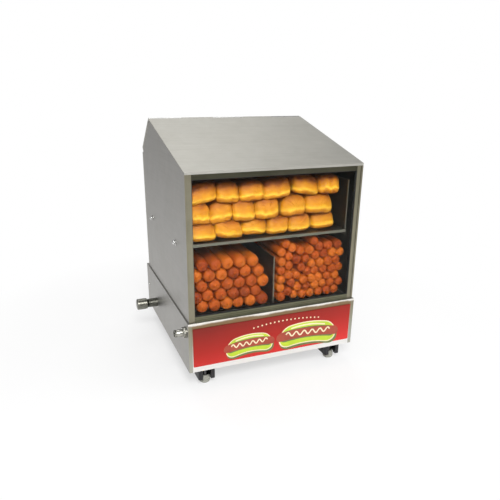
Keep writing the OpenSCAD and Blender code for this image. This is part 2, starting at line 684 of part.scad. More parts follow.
// ---- Rear door ----
z_door = z_deck + 4;
z_door_top = z_shoulder - 9;
pivot = [door_x - knuckle_r, y_back - knuckle_r];
rear_door_side = pivot[0] - knuckle_r - 0.8;
rear_knuckle_h = (z_door_top - z_door) / knuckles;
rear_hole_x = cab_x - 18;
rear_hole_z = [z_deck + 10, z_deck + 278];
module rear_door_frame() color("silver") difference() {
    block([-cab_x + sheet, y_frame - sheet, z_deck], [cab_x - sheet, y_frame, frame_top - slip]);
    block([-rear_hole_x, y_frame - 5, rear_hole_z[0]], [rear_hole_x, y_frame + eps, rear_hole_z[1]]);
}
module rear_row(first) for (i = [first : 2 : knuckles - 1])
    translate([0, 0, z_door + i * rear_knuckle_h + apart / 2]) children();
module rear_knuckle() translate(pivot) cylinder(h = rear_knuckle_h - apart, r = knuckle_r);
module rear_bore() translate([pivot[0], pivot[1], z_door - eps])
    cylinder(h = z_door_top - z_door + 2 * eps, r = hinge_pin_d / 2 + run);
module rear_door_hinge() color("gray") difference() {
    union() {
        block([pivot[0] - sheet / 2, y_frame, z_door], [cab_x - sheet, y_frame + 1, z_door_top]);
        rear_row(0) {
            rear_knuckle();
            block([pivot[0] - sheet / 2, y_frame, 0], [pivot[0] + sheet / 2, pivot[1], rear_knuckle_h - apart]);
        }
    }
    rear_bore();
}
module rear_door_pin() color("white") rod_z(pivot[0], pivot[1], z_door, z_door_top, hinge_pin_d / 2);
module rear_door() color("silver") difference() {
    union() {
        difference() {
            block([-door_x, y_back - door_t, z_door], [rear_door_side, y_back, z_door_top]);
            block([-door_x + sheet, y_back - door_t - eps, z_door + sheet],
                  [rear_door_side - sheet, y_back - sheet, z_door_top - sheet]);
        }
        rear_row(1) {
            rear_knuckle();
            block([rear_door_side - eps, y_back - sheet, 0], [pivot[0], y_back, rear_knuckle_h - apart]);
        }
    }
    rear_bore();
}
rear_handle = [-cab_x + 34, z_deck + 150];
module rear_door_handle() color("black") translate([rear_handle[0], y_back, rear_handle[1]])
    rotate([-90, 0, 0]) rotate([0, 0, 90]) pull_handle();

catch_w = 24;
catch_t = door_t + door_gap - sheet - 1.5;
module door_catches() color("dimgray") {
    on_slope() block([-catch_w / 2, bun_hole_end + 3, -frame_drop],
                     [catch_w / 2, bun_hole_end + 10, -frame_drop + catch_t]);
    block([-rear_hole_x - 11, y_frame, rear_handle[1] - catch_w / 2],
          [-rear_hole_x - 3, y_frame + catch_t, rear_handle[1] + catch_w / 2]);
}

// ---- Controls and wiring ----
switch_w = 28;
switch_h = 22;
lamp_r = 6;
inlet_w = 28;
inlet_h = 20;
bezel_t = 1.5;
bushing_end = half_d + 1.2;
module thermostat_body() color("tan") difference() {
    union() {
        block([knob_x - 22, thermostat_front, control_z - 18], [knob_x + 22, in_y - 2, control_z + 18]);
        rod_y(knob_x, in_y - 2, bushing_end, control_z, bushing_r);
    }
    rod_y(knob_x, in_y - 18, half_d + 5, control_z, shaft_d / 2 + run);
}
shaft_end = half_d + knob_h - 6;
module thermostat_shaft() color("silver") rod_y(knob_x, in_y - 17.5, shaft_end, control_z, shaft_d / 2);
knob_gap = 1.8;
knob_skirt = 3;
knob_grip_r = knob_d / 2 - 6;
module thermostat_knob() color("black") translate([knob_x, half_d + knob_gap, control_z]) rotate([-90, 0, 0])
    difference() {
        union() {
            cylinder(h = knob_skirt, r = knob_d / 2);
            linear_extrude(knob_h - knob_gap) {
                difference() {
                    circle(knob_grip_r);
                    for (a = [30 : 30 : 330]) rotate(a - 90) translate([knob_grip_r + 1, 0]) circle(2.5);
                }
                translate([-1.5, 1 - knob_d / 2]) square([3, knob_d / 2 - 2]);
            }
        }
        translate([0, 0, -eps]) cylinder(h = shaft_end - half_d - knob_gap + eps, r = shaft_d / 2);
    }

pivot_in = half_d - 5;
rocker_w = 20;
rocker_open = 8.7;
rocker_tilt = 10;
module switch_housing() color("black") difference() {
    union() {
        block([switch_x - switch_w / 2, half_d - 26, control_z - switch_h / 2],
              [switch_x + switch_w / 2, half_d, control_z + switch_h / 2]);
        translate([switch_x, half_d + bezel_t, control_z]) rotate([90, 0, 0])
            linear_extrude(bezel_t) rounded(switch_w + 4, switch_h + 4, 2);
    }
    block([switch_x - rocker_w / 2 - apart, half_d - 16, control_z - rocker_open],
          [switch_x + rocker_w / 2 + apart, half_d + 5, control_z + rocker_open]);
    rod_x(switch_x - rocker_w / 2 - 2.5, switch_x + rocker_w / 2 + 2.5, pivot_in, control_z, 1.5 + run);
}
module switch_rocker() color("firebrick") translate([0, pivot_in, control_z]) {
    rotate([-rocker_tilt, 0, 0]) along_x(switch_x - rocker_w / 2, switch_x + rocker_w / 2)
        polygon([[7.8, -6.6], [6.2, 0], [7.8, 6.6], [3, 6.4], [-4, 2.5], [-4, -2.5], [3, -6.4]]);
    rod_x(switch_x - rocker_w / 2 - 2, switch_x + rocker_w / 2 + 2, 0, 0, 1.5);
}
module pilot_lamp() color("orangered") {
    rod_y(lamp_x, half_d - 20, half_d, control_z, lamp_r);
    rod_y(lamp_x, half_d, half_d + 2, control_z, lamp_r + 2);
    translate([lamp_x, half_d + 2, control_z]) rotate([-90, 0, 0]) dome(lamp_r, 4);
}
inlet_pin = [4, 2];
module power_inlet() color("black") {
    difference() {
        union() {
            block([inlet_x - inlet_w / 2, half_d - 20, control_z - inlet_h / 2],
                  [inlet_x + inlet_w / 2, half_d, control_z + inlet_h / 2]);
            translate([inlet_x, half_d + bezel_t, control_z]) rotate([90, 0, 0])
                linear_extrude(bezel_t) rounded(inlet_w + 22, inlet_h + 4, 5);
        }
        block([inlet_x - 12.2, half_d - 16, control_z - 8], [inlet_x + 12.2, half_d + 5, control_z + 8]);
    }
    for (x = [-7, 0, 7]) translate([inlet_x + x, 0, control_z - 3]) block(
        [-inlet_pin[1] / 2, half_d - 16, -inlet_pin[0] / 2], [inlet_pin[1] / 2, half_d - 3, inlet_pin[0] / 2]);
}

strip = [40, 18, 16];
strip_at = [10, pan_back + 36, z_base + sheet];
module terminal_block() color("wheat") difference() {
    translate(strip_at) cube(strip);
    for (i = [0 : 3]) translate([strip_at[0] + 5 + i * 10, strip_at[1] + strip[1] / 2, strip_at[2] + strip[2] - 6])
        cylinder(h = 8, r = 2.5);
}
wire_r = 1.4;
module wiring() color("firebrick") {
    strip_back = strip_at[1] + strip[1];
    low = strip_at[2] + strip[2] / 2;
    run_y = strip_back + 4;
    ends = [[switch_x, half_d - 26], [lamp_x, half_d - 20], [inlet_x, half_d - 20]];
    for (i = [0 : 2]) {
        e = ends[i];
        x = strip_at[0] + 14 + 10 * i;
        z = low + (i - 1) * 2.5 * wire_r;
        wire([[e[0], e[1], control_z - 4], [e[0], run_y, control_z - 4], [e[0], run_y, z],
              [x, run_y, z], [x, strip_back, z]], wire_r);
    }
    lead_x = knob_x + 8;
    lead_y = strip_at[1] + strip[1] / 2;
    wire([[lead_x, thermostat_front, control_z + 8], [lead_x, lead_y, control_z + 8],
          [lead_x, lead_y, low], [strip_at[0], lead_y, low]], wire_r);
    for (side = [-1, 1]) {
        from_x = side * 1.5 * element_pitch;
        to_x = strip_at[0] + strip[0] / 2 + side * 8;
        wire([[from_x, pan_back + 26, element_z], [from_x, pan_back + 30, element_z],
              [from_x, pan_back + 30, low], [to_x, pan_back + 30, low], [to_x, strip_at[1], low]], wire_r);
    }
}

placed() base_shell();
placed() base_bottom();
placed() deck_plate();
placed() rear_panel();
placed() sign_panel();
placed() foot_block(-1, -1);  // foot_block_fl
placed() foot_block(1, -1);  // foot_block_fr
placed() foot_block(-1, 1);  // foot_block_rl
placed() foot_block(1, 1);  // foot_block_rr
placed() foot_pads();
placed() foot_legs();
placed() case_screws();
placed() water_pan();
placed() heating_element();
placed() element_bushings();
placed() thermostat_bulb();
placed() drain_pipe();
placed() drain_lock_nut();
placed() drain_seal();
placed() drain_cap();
placed() overflow_tube();
placed() overflow_nut();
placed() juice_tray();
placed() dog_tray();
placed() divider();
placed() left_side();
placed() right_side();
placed() roof_panel();
placed() window_header();
placed() window_sill();
placed() window_post_left();
placed() window_post_right();
placed() front_glass();
placed() glass_seal();
placed() bun_tray();
placed() tray_rail_left();
placed() tray_rail_right();
placed() tray_studs();
placed() bun_door_frame();
placed() bun_door_hinge();
placed() bun_door_pin();
placed() bun_door();
placed() bun_door_handle();
placed() rear_door_frame();
placed() rear_door_hinge();
placed() rear_door_pin();
placed() rear_door();
placed() rear_door_handle();
placed() door_catches();
placed() thermostat_body();
placed() thermostat_shaft();
placed() thermostat_knob();
placed() switch_housing();
placed() switch_rocker();
placed() pilot_lamp();
placed() power_inlet();
placed() terminal_block();
placed() wiring();
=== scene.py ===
"""Looks for the countertop hot dog steamer: steel, glass, printed sign, feet, drains and the food on show."""
import json
import math

import bmesh
import bpy
import numpy as np
from mathutils import Matrix, Vector, noise

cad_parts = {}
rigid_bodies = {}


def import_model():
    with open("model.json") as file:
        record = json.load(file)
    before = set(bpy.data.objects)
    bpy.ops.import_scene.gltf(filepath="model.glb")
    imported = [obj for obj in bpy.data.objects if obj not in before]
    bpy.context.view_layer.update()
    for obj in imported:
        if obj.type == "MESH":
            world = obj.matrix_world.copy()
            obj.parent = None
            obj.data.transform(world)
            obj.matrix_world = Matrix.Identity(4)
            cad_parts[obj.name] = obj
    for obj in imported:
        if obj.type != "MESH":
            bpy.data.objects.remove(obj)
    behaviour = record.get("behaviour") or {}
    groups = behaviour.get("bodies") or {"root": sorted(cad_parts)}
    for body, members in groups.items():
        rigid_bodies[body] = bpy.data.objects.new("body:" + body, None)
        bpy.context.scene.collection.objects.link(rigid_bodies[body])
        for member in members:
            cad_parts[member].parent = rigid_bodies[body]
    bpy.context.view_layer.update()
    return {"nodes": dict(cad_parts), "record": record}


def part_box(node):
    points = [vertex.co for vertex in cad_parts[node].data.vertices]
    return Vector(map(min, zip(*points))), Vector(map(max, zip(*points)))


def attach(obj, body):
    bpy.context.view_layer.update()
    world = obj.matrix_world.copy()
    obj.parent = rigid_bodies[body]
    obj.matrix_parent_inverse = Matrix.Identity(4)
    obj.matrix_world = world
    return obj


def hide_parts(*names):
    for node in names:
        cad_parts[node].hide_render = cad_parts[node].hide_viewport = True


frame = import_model()
MM = 0.001
SHEET_EDGE = 0.35 * MM      # rounding on folded sheet
MOULDED_EDGE = 0.5 * MM     # rounding on moulded fittings
GRIP_EDGE = 0.7 * MM        # rounding on handles and the knob
SMALL_EDGE = 0.25 * MM      # rounding on small inner parts
SIGN_EDGE = 0.3 * MM
FOOT_EDGE = 1.1 * MM
FACING = 0.9                # a face normal's share along an axis, above which the face points that way
NUT_R, NUT_H = 5.5 * MM, 4 * MM
HEAD_R, HEAD_H = 3.6 * MM, 2.2 * MM
THREAD = 1.814 * MM
THREADED_L = 26 * MM
DRAIN_BORE_R = 7.9 * MM
OVERFLOW_BORE_R = 6.0 * MM
SIGN_TALL = 85 * MM
SEED = 7


# ---- Materials ----
class Shader:
    """A material made of a Principled shader and a few texture nodes, in the row frame's metres."""

    def __init__(self, name, **values):
        self.mat = bpy.data.materials.new(name)
        self.mat.use_nodes = True
        self.tree = self.mat.node_tree
        self.tree.nodes.clear()
        self.out = self.tree.nodes.new("ShaderNodeOutputMaterial")
        self.bsdf = self.add("BsdfPrincipled", **values)
        self.tree.links.new(self.bsdf.outputs[0], self.out.inputs[0])
        self.coord = self.add("TexCoord").outputs["Object"]

    def put(self, socket, value):
        if isinstance(value, bpy.types.NodeSocket):
            self.tree.links.new(value, socket)
        elif isinstance(value, bpy.types.Node):
            self.tree.links.new(value.outputs[0], socket)
        elif hasattr(value, "__len__") and len(value) == 3 and len(socket.default_value) == 4:
            socket.default_value = (*value, 1)
        else:
            socket.default_value = value

    def add(self, kind, props=None, **values):
        node = self.tree.nodes.new("ShaderNode" + kind)
        for key, value in (props or {}).items():
            setattr(node, key, value)
        for key, value in values.items():
            self.put(node.inputs[key.replace("_", " ")], value)
        return node

    def stretched(self, x, y, z):
        node = self.add("Mapping", Vector=self.coord)
        node.inputs["Scale"].default_value = (x, y, z)
        return node.outputs[0]

    def noise(self, scale, detail=3, rough=0.5, vector=None, distortion=0):
        return self.add("TexNoise", Vector=vector or self.coord, Scale=scale, Detail=detail,
                        Roughness=rough, Distortion=distortion).outputs["Fac"]

    def voronoi(self, scale, feature="F1", vector=None):
        return self.add("TexVoronoi", {"feature": feature}, Vector=vector or self.coord, Scale=scale).outputs[0]

    def ramp(self, fac, *stops):
        node = self.add("ValToRGB", Fac=fac)
        ramp = node.color_ramp
        while len(ramp.elements) < len(stops):
            ramp.elements.new(0.5)
        for element, (at, colour) in zip(ramp.elements, stops):
            element.position = at
            element.color = (*colour, 1) if hasattr(colour, "__len__") else (colour, colour, colour, 1)
        return node.outputs["Color"]

    def math(self, operation, a, b=0.0, c=0.0):
        node = self.add("Math", {"operation": operation})
        for socket, value in zip(node.inputs, (a, b, c)):
            self.put(socket, value)
        return node.outputs[0]

    def mix(self, fac, a, b, blend="MIX"):
        node = self.add("Mix", {"data_type": "RGBA", "blend_type": blend})
        for index, value in ((0, fac), (6, a), (7, b)):
            self.put(node.inputs[index], value)
        return node.outputs[2]

    def spread(self, fac, low, high):
        return self.add("MapRange", Value=fac, To_Min=low, To_Max=high).outputs[0]

    def bump(self, height, strength, distance, normal=None):
        values = {"Height": height, "Strength": strength, "Distance": distance}
        if normal is not None:
            values["Normal"] = normal
        return self.add("Bump", **values).outputs[0]

    def attribute(self, name):
        return self.add("Attribute", {"attribute_name": name}).outputs["Fac"]

    def finish(self, **values):
        for key, value in values.items():
            self.put(self.bsdf.inputs[key.replace("_", " ")], value)
        return self.mat


def steel(name, grain, dark, light, rough=(0.24, 0.4), waves=0.25, soil=0.1):
    """Brushed sheet: fine grain along one axis, faint smears, and slight waves in the sheet."""
    s = Shader(name, Metallic=1.0)
    along, across = 9, 900
    fine = s.noise(1, 2, 0.6, s.stretched(*[along if a == grain else across for a in "XYZ"]))
    band = s.noise(1, 2, 0.5, s.stretched(*[3 if a == grain else 190 for a in "XYZ"]))
    smear = s.noise(7, 4, 0.6, distortion=0.6)
    spots = s.noise(60, 3, 0.6)
    mottle = s.noise(26, 5, 0.65, distortion=0.4)
    tone = s.math("ADD", s.math("MULTIPLY", fine, 0.4), s.math("ADD", s.math("MULTIPLY", band, 0.22),
                                                                 s.math("MULTIPLY", mottle, 0.38)))
    colour = s.ramp(tone, (0.3, dark), (0.7, light))
    colour = s.mix(s.math("MULTIPLY", s.ramp(smear, (0.45, 0), (0.75, 1)), soil), colour, (0.42, 0.38, 0.31))
    roughness = s.math("ADD", s.spread(tone, rough[0], rough[1]),
                       s.math("MULTIPLY", s.math("MULTIPLY", smear, spots), 0.16))
    scratched = s.bump(fine, 0.16, 0.00008)
    waved = s.bump(s.noise(5, 1), waves, 0.004, scratched)
    return s.finish(Base_Color=colour, Roughness=roughness, Normal=waved)


def polished(name, dark, light, rough=0.16):
    s = Shader(name, Metallic=1.0)
    smear = s.noise(120, 4, 0.6)
    return s.finish(Base_Color=s.ramp(smear, (0.3, dark), (0.7, light)),
                    Roughness=s.spread(s.noise(500, 3), rough, rough + 0.16),
                    Normal=s.bump(s.noise(900, 2), 0.1, 0.0001))


def plastic(name, dark, light, rough=(0.35, 0.5), grain=1800, depth=0.00005, **values):
    s = Shader(name, **values)
    smear = s.noise(30, 4, 0.6)
    return s.finish(Base_Color=s.ramp(smear, (0.35, dark), (0.7, light)), Roughness=s.spread(smear, *rough),
                    Normal=s.bump(s.noise(grain, 2), 0.35, depth))


MATERIALS = {
    "brushed_steel": steel("brushed_steel", "Y", (0.40, 0.39, 0.37), (0.52, 0.51, 0.49)),
    # Darker copy of the roof steel: painted shade on the cabinet sides and the base
    "side_steel_painted_shade": steel("side_steel_painted_shade", "Y", (0.32, 0.31, 0.29), (0.43, 0.42, 0.40), rough=(0.3, 0.46)),
    "roof_steel": steel("roof_steel", "X", (0.42, 0.41, 0.37), (0.52, 0.51, 0.47), rough=(0.44, 0.58)),
    # Near-black copy of the steel: painted shade under the roof lip on the window header
    "header_steel_painted_shade": steel("header_steel_painted_shade", "X", (0.05, 0.05, 0.035), (0.10, 0.095, 0.065), waves=0.1),
    # Darker olive copy of the steel: painted shade on the window posts and the sides' front folds
    "frame_steel": steel("frame_steel", "Z", (0.20, 0.185, 0.13), (0.31, 0.29, 0.21), waves=0.1),
    # Darker olive copy of the steel: painted shade on the window sill
    "sill_steel_painted_shade": steel("sill_steel_painted_shade", "X", (0.12, 0.12, 0.075), (0.20, 0.20, 0.13), waves=0.1),
    # Dark copy of the steel: painted shade inside the cabinet, on the sides' inner faces
    "inner_steel_painted_shade": steel("inner_steel_painted_shade", "Y", (0.07, 0.07, 0.055), (0.12, 0.12, 0.10), rough=(0.3, 0.45)),
    # Darker copy of the steel: painted shade on the trays, divider, pan and rails inside the cabinet
    "tray_steel": steel("tray_steel", "Y", (0.15, 0.14, 0.11), (0.24, 0.225, 0.18), rough=(0.2, 0.34)),
    "pipe_steel": polished("pipe_steel", (0.17, 0.17, 0.145), (0.27, 0.265, 0.23), 0.22),
    "leg_steel": polished("leg_steel", (0.05, 0.05, 0.05), (0.10, 0.10, 0.10), 0.2),
    "thread_steel": polished("thread_steel", (0.10, 0.10, 0.085), (0.17, 0.168, 0.145), 0.24),
    "nut_steel": polished("nut_steel", (0.30, 0.30, 0.26), (0.45, 0.44, 0.40), 0.18),
    "screw_steel": polished("screw_steel", (0.50, 0.50, 0.49), (0.68, 0.68, 0.66), 0.14),
    "element_sheath": polished("element_sheath", (0.10, 0.09, 0.08), (0.20, 0.18, 0.15), 0.4),
    "bushing_brass": polished("bushing_brass", (0.48, 0.32, 0.10), (0.65, 0.46, 0.18), 0.25),
    "bulb_copper": polished("bulb_copper", (0.45, 0.20, 0.10), (0.62, 0.32, 0.18), 0.25),
    "seal_rubber": plastic("seal_rubber", (0.010, 0.010, 0.010), (0.025, 0.025, 0.024), (0.55, 0.75)),
    "foot_black": plastic("foot_black", (0.006, 0.006, 0.007), (0.016, 0.016, 0.018), (0.3, 0.5), 900, 0.0001),
    "pad_grey": plastic("pad_grey", (0.26, 0.26, 0.22), (0.42, 0.42, 0.37), (0.5, 0.7)),
    "handle_black": plastic("handle_black", (0.010, 0.010, 0.011), (0.025, 0.025, 0.027), (0.25, 0.4)),
    "fitting_black": plastic("fitting_black", (0.012, 0.012, 0.013), (0.03, 0.03, 0.032), (0.4, 0.55)),
    "rocker_red": plastic("rocker_red", (0.35, 0.01, 0.008), (0.55, 0.03, 0.02), (0.15, 0.3)),
    "phenolic": plastic("phenolic", (0.12, 0.06, 0.03), (0.22, 0.12, 0.06), (0.4, 0.6)),
    "wire_red": plastic("wire_red", (0.30, 0.01, 0.01), (0.48, 0.03, 0.02), (0.3, 0.45)),
    "white_print": plastic("white_print", (0.62, 0.62, 0.60), (0.75, 0.75, 0.72), (0.3, 0.45)),
    "dial_print": plastic("dial_print", (0.03, 0.03, 0.03), (0.06, 0.06, 0.06), (0.4, 0.55)),
}


def lamp_material():
    s = Shader("lamp_amber", Transmission_Weight=0.6, IOR=1.5, Coat_Weight=0.5)
    facets = s.voronoi(700)
    return s.finish(Base_Color=s.ramp(facets, (0.0, (0.75, 0.16, 0.01)), (0.6, (0.95, 0.35, 0.05))),
                    Roughness=s.spread(s.noise(200), 0.08, 0.2), Normal=s.bump(facets, 0.4, 0.0003))


def glass_material():
    """Clear float glass that lets light through to the food, with a faint film of steam and wiped streaks."""
    s = Shader("window_glass", Transmission_Weight=1.0, IOR=1.16, Specular_IOR_Level=0.4)
    streaks = s.noise(1, 4, 0.6, s.stretched(60, 60, 5), 0.5)
    film = s.noise(9, 4, 0.6, distortion=0.5)
    s.finish(Base_Color=s.ramp(film, (0.3, (0.93, 0.965, 0.95)), (0.7, (0.97, 0.99, 0.98))),
             Roughness=s.math("MULTIPLY", s.math("MULTIPLY", streaks, film), 0.035),
             Normal=s.bump(s.noise(3, 1), 0.02, 0.001))
    clear = s.add("BsdfTransparent", Color=(0.94, 0.97, 0.95))
    shadow = s.add("LightPath").outputs["Is Shadow Ray"]
    both = s.add("MixShader", Fac=shadow)
    s.tree.links.new(s.bsdf.outputs[0], both.inputs[1])
    s.tree.links.new(clear.outputs[0], both.inputs[2])
    s.tree.links.new(both.outputs[0], s.out.inputs[0])
    return s.mat


def sign_material():
    """Printed film: deep red at the top left, brighter towards the bottom right, under a thin clear coat."""
    lo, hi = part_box("sign_panel")
    s = Shader("sign_red", Coat_Weight=0.12, Coat_Roughness=0.15, Specular_IOR_Level=0.25)
    place = s.add("SeparateXYZ", Vector=s.coord)
    down = s.add("MapRange", Value=place.outputs["Z"], From_Min=hi.z, From_Max=lo.z, To_Max=0.72).outputs[0]
    across = s.add("MapRange", Value=place.outputs["X"], From_Min=lo.x, From_Max=hi.x, To_Max=0.28).outputs[0]
    patchy = s.noise(14, 2)
    fac = s.math("ADD", s.math("ADD", down, across), s.math("MULTIPLY", s.math("SUBTRACT", patchy, 0.5), 0.12))
    colour = s.ramp(fac, (0.0, (0.17, 0.008, 0.003)), (0.5, (0.37, 0.013, 0.007)), (1.0, (0.66, 0.030, 0.026)))
    return s.finish(Base_Color=colour, Roughness=s.spread(patchy, 0.24, 0.36),
                    Normal=s.bump(s.noise(260, 2), 0.05, 0.0002))


def front_material():
    """The base's front: painted reflection of the pale floor makes it near-white below the sign, a brown strip
    runs under the cabinet, and a painted highlight lines the top edge.
    """
    lo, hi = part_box("base_shell")
    s = Shader("front_steel_painted_reflection", Metallic=1.0)
    height = s.add("SeparateXYZ", Vector=s.coord).outputs["Z"]
    up = s.add("MapRange", Value=height, From_Min=lo.z, From_Max=hi.z).outputs[0]
    fine = s.noise(1, 2, 0.6, s.stretched(9, 900, 900))
    smear = s.noise(16, 4, 0.6)
    at = s.math("ADD", up, s.math("MULTIPLY", s.math("SUBTRACT", smear, 0.5), 0.12))
    # Colour by height: near-white at the bottom, painted reflection of the pale floor; a brown strip under the
    # cabinet; a bright painted highlight on the top edge
    tint_and_painted_glare = s.ramp(at, (0.0, (0.97, 0.965, 0.95)), (0.25, (0.90, 0.89, 0.86)), (0.6, (0.50, 0.44, 0.34)),
                  (0.90, (0.24, 0.14, 0.06)), (0.955, (0.24, 0.16, 0.08)), (0.985, (0.95, 0.93, 0.88)))
    sign_lo, sign_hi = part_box("sign_panel")
    off = s.math("ABSOLUTE", s.math("SUBTRACT", s.add("SeparateXYZ", Vector=s.coord).outputs["X"],
                                    (sign_lo.x + sign_hi.x) / 2))
    beside = s.math("MULTIPLY", s.math("GREATER_THAN", off, (sign_hi.x - sign_lo.x) / 2 + 1.5 * MM), 0.75)
    beside = s.math("MULTIPLY", beside, s.math("LESS_THAN", up, 0.95))
    tint_and_painted_glare = s.mix(beside, tint_and_painted_glare, (0.27, 0.28, 0.21))
    colour = s.mix(s.math("MULTIPLY", fine, 0.25), tint_and_painted_glare, (0.42, 0.38, 0.30))
    return s.finish(Base_Color=colour, Roughness=s.spread(fine, 0.3, 0.45), Normal=s.bump(fine, 0.16, 0.00008))


def printed(name, dark, light):
    s = Shader(name, Coat_Weight=0.3, Coat_Roughness=0.15)
    patchy = s.noise(70, 4)
    return s.finish(Base_Color=s.ramp(patchy, (0.3, dark), (0.7, light)), Roughness=s.spread(patchy, 0.25, 0.4),
                    Normal=s.bump(s.noise(1500, 2), 0.1, 0.00004))


def crust_material():
    """Bun: browned crown that darkens towards its top as painted shade, pale soft band where the bread split,
    darker foot; all from each bun's own height, with the top row's crowns darkened further by painted shade.
    """
    s = Shader("bun_crust", Subsurface_Weight=0.06, Subsurface_Scale=0.003, Specular_IOR_Level=0.2)
    s.bsdf.inputs["Subsurface Radius"].default_value = (1.0, 0.5, 0.2)
    level = s.attribute("level")
    tone = s.attribute("tone")
    wander = s.noise(45, 4, 0.6, distortion=0.4)
    fine = s.noise(420, 4, 0.7)
    ragged = s.noise(240, 4, 0.7)
    at = s.math("ADD", level, s.math("MULTIPLY", s.math("SUBTRACT", wander, 0.5), 0.16))
    at = s.math("ADD", at, s.math("MULTIPLY", s.math("SUBTRACT", ragged, 0.5), 0.2))
    at = s.math("ADD", at, s.math("MULTIPLY", s.math("SUBTRACT", tone, 0.5), 0.04))
    # Colour by level; the last two stops darken the top of each crown, painted shade
    colour = s.ramp(at, (0.02, (0.18, 0.042, 0.002)), (0.12, (0.42, 0.14, 0.004)), (0.25, (0.56, 0.22, 0.006)),
                    (0.32, (0.82, 0.47, 0.045)), (0.38, (0.72, 0.36, 0.018)), (0.48, (0.54, 0.22, 0.004)),
                    (0.64, (0.50, 0.18, 0.004)), (0.84, (0.33, 0.09, 0.003)), (1.0, (0.12, 0.022, 0.001)))
    patch = s.ramp(s.noise(90, 5, 0.75, distortion=0.8), (0.46, 0), (0.68, 1))
    colour = s.mix(s.math("MULTIPLY", patch, 0.6), colour, (0.36, 0.10, 0.002))
    colour = s.mix(s.math("MULTIPLY", s.ramp(fine, (0.5, 0), (0.75, 1)), 0.6), colour, (0.30, 0.085, 0.003))
    pores = s.bump(fine, 0.5, 0.0009)
    dents = s.bump(s.noise(110, 4, 0.65), 0.6, 0.003, pores)
    return s.finish(Base_Color=colour, Roughness=s.spread(wander, 0.42, 0.62), Normal=dents)


def sausage_material():
    s = Shader("sausage_skin", Subsurface_Weight=0.08, Subsurface_Scale=0.003, Specular_IOR_Level=0.12)
    s.bsdf.inputs["Subsurface Radius"].default_value = (1.0, 0.3, 0.15)
    tone = s.attribute("tone")
    mottle = s.noise(130, 5, 0.65, distortion=0.3)
    freckle = s.noise(700, 3, 0.6)
    at = s.math("ADD", s.math("MULTIPLY", mottle, 0.7), s.math("MULTIPLY", tone, 0.4))
    colour = s.ramp(at, (0.25, (0.16, 0.018, 0.001)), (0.5, (0.31, 0.048, 0.002)), (0.8, (0.46, 0.105, 0.006)))
    colour = s.mix(s.math("MULTIPLY", s.ramp(freckle, (0.55, 0), (0.75, 1)), 0.4), colour, (0.16, 0.02, 0.003))
    return s.finish(Base_Color=colour, Roughness=s.spread(mottle, 0.42, 0.6),
                    Normal=s.bump(mottle, 0.6, 0.0018, s.bump(freckle, 0.4, 0.0005)))


MATERIALS["lamp_amber"] = lamp_material()
MATERIALS["window_glass"] = glass_material()
MATERIALS["sign_red"] = sign_material()
MATERIALS["front_steel_painted_reflection"] = front_material()
MATERIALS["bun_crust"] = crust_material()
MATERIALS["sausage_skin"] = sausage_material()
MATERIALS["print_lime"] = printed("print_lime", (0.42, 0.56, 0.010), (0.50, 0.64, 0.02))
MATERIALS["print_cream"] = printed("print_cream", (0.78, 0.66, 0.42), (0.86, 0.76, 0.52))
MATERIALS["print_shade"] = printed("print_shade", (0.10, 0.13, 0.03), (0.14, 0.17, 0.05))
MATERIALS["print_red"] = printed("print_red", (0.30, 0.03, 0.01), (0.38, 0.05, 0.016))


# ---- Meshes ----
SLOT = {part["node"]: part["material_slot"] for part in frame["record"]["subparts"]}
BODY = {node: body for body, nodes in frame["record"]["behaviour"]["bodies"].items() for node in nodes}


def piece(name, bm, material, body, replaces=(), smooth_angle=40):
    """Makes an object of a bmesh in the row frame, smooth across edges flatter than smooth_angle."""
    bmesh.ops.recalc_face_normals(bm, faces=bm.faces)
    for face in bm.faces:
        face.smooth = True
    limit = math.radians(smooth_angle)
    for edge in bm.edges:
        edge.smooth = len(edge.link_faces) == 2 and edge.calc_face_angle(math.pi) < limit
    mesh = bpy.data.meshes.new(name)
    bm.to_mesh(mesh)
    bm.free()
    mesh.materials.append(MATERIALS[material])
    obj = bpy.data.objects.new(name, mesh)
    bpy.context.collection.objects.link(obj)
    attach(obj, body)
    if replaces:
        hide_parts(*replaces)
    return obj


def soften(node, width, material=None, segments=2):
    """A copy of a CAD node with rounded edges, standing for it."""
    bm = bmesh.new()
    bm.from_mesh(frame["nodes"][node].data)
    bmesh.ops.remove_doubles(bm, verts=bm.verts, dist=1e-6)
    bmesh.ops.dissolve_limit(bm, angle_limit=math.radians(0.5), verts=bm.verts, edges=bm.edges)
    obj = piece(node + "_finished", bm, material or SLOT[node], BODY[node], (node,))
    mod = obj.modifiers.new("edges", "BEVEL")
    mod.width = width
    mod.segments = segments
    mod.limit_method = "ANGLE"
    mod.angle_limit = math.radians(30)
    mod.harden_normals = True
    return obj


def basis(axis):
    """Two directions square to an axis, completing a right-handed set."""
    axis = Vector(axis).normalized()
    side = Vector((0, 0, 1)) if abs(axis.z) < 0.9 else Vector((0, 1, 0))
    u = side.cross(axis).normalized()
    return u, axis.cross(u), axis


def skin(bm, rings, closed_ends=True):
    """Joins rings of vertices into a tube."""
    for a, b in zip(rings, rings[1:]):
        n = len(a)
        for i in range(n):
            bm.faces.new((a[i], a[(i + 1) % n], b[(i + 1) % n], b[i]))
    if closed_ends:
        bm.faces.new(list(reversed(rings[0])))
        bm.faces.new(rings[-1])


def turned_rings(bm, profile, origin, axis, segments, phase):
    """One ring of vertices round the axis for each (distance along the axis, radius) pair."""
    u, v, w = basis(axis)
    turn = [phase + 2 * math.pi * i / segments for i in range(segments)]
    return [[bm.verts.new(Vector(origin) + w * along + (u * math.cos(t) + v * math.sin(t)) * radius)
             for t in turn] for along, radius in profile]


def lathe(bm, profile, origin, axis, segments=48, phase=0.0):
    """A turned solid with flat ends."""
    skin(bm, turned_rings(bm, profile, origin, axis, segments, phase))


def turned(bm, origin, axis, profile, segments=40, phase=0.0):
    """A turned solid with a hole through it: the profile's last point joins its first."""
    rings = turned_rings(bm, profile, origin, axis, segments, phase)
    skin(bm, rings + [rings[0]], closed_ends=False)


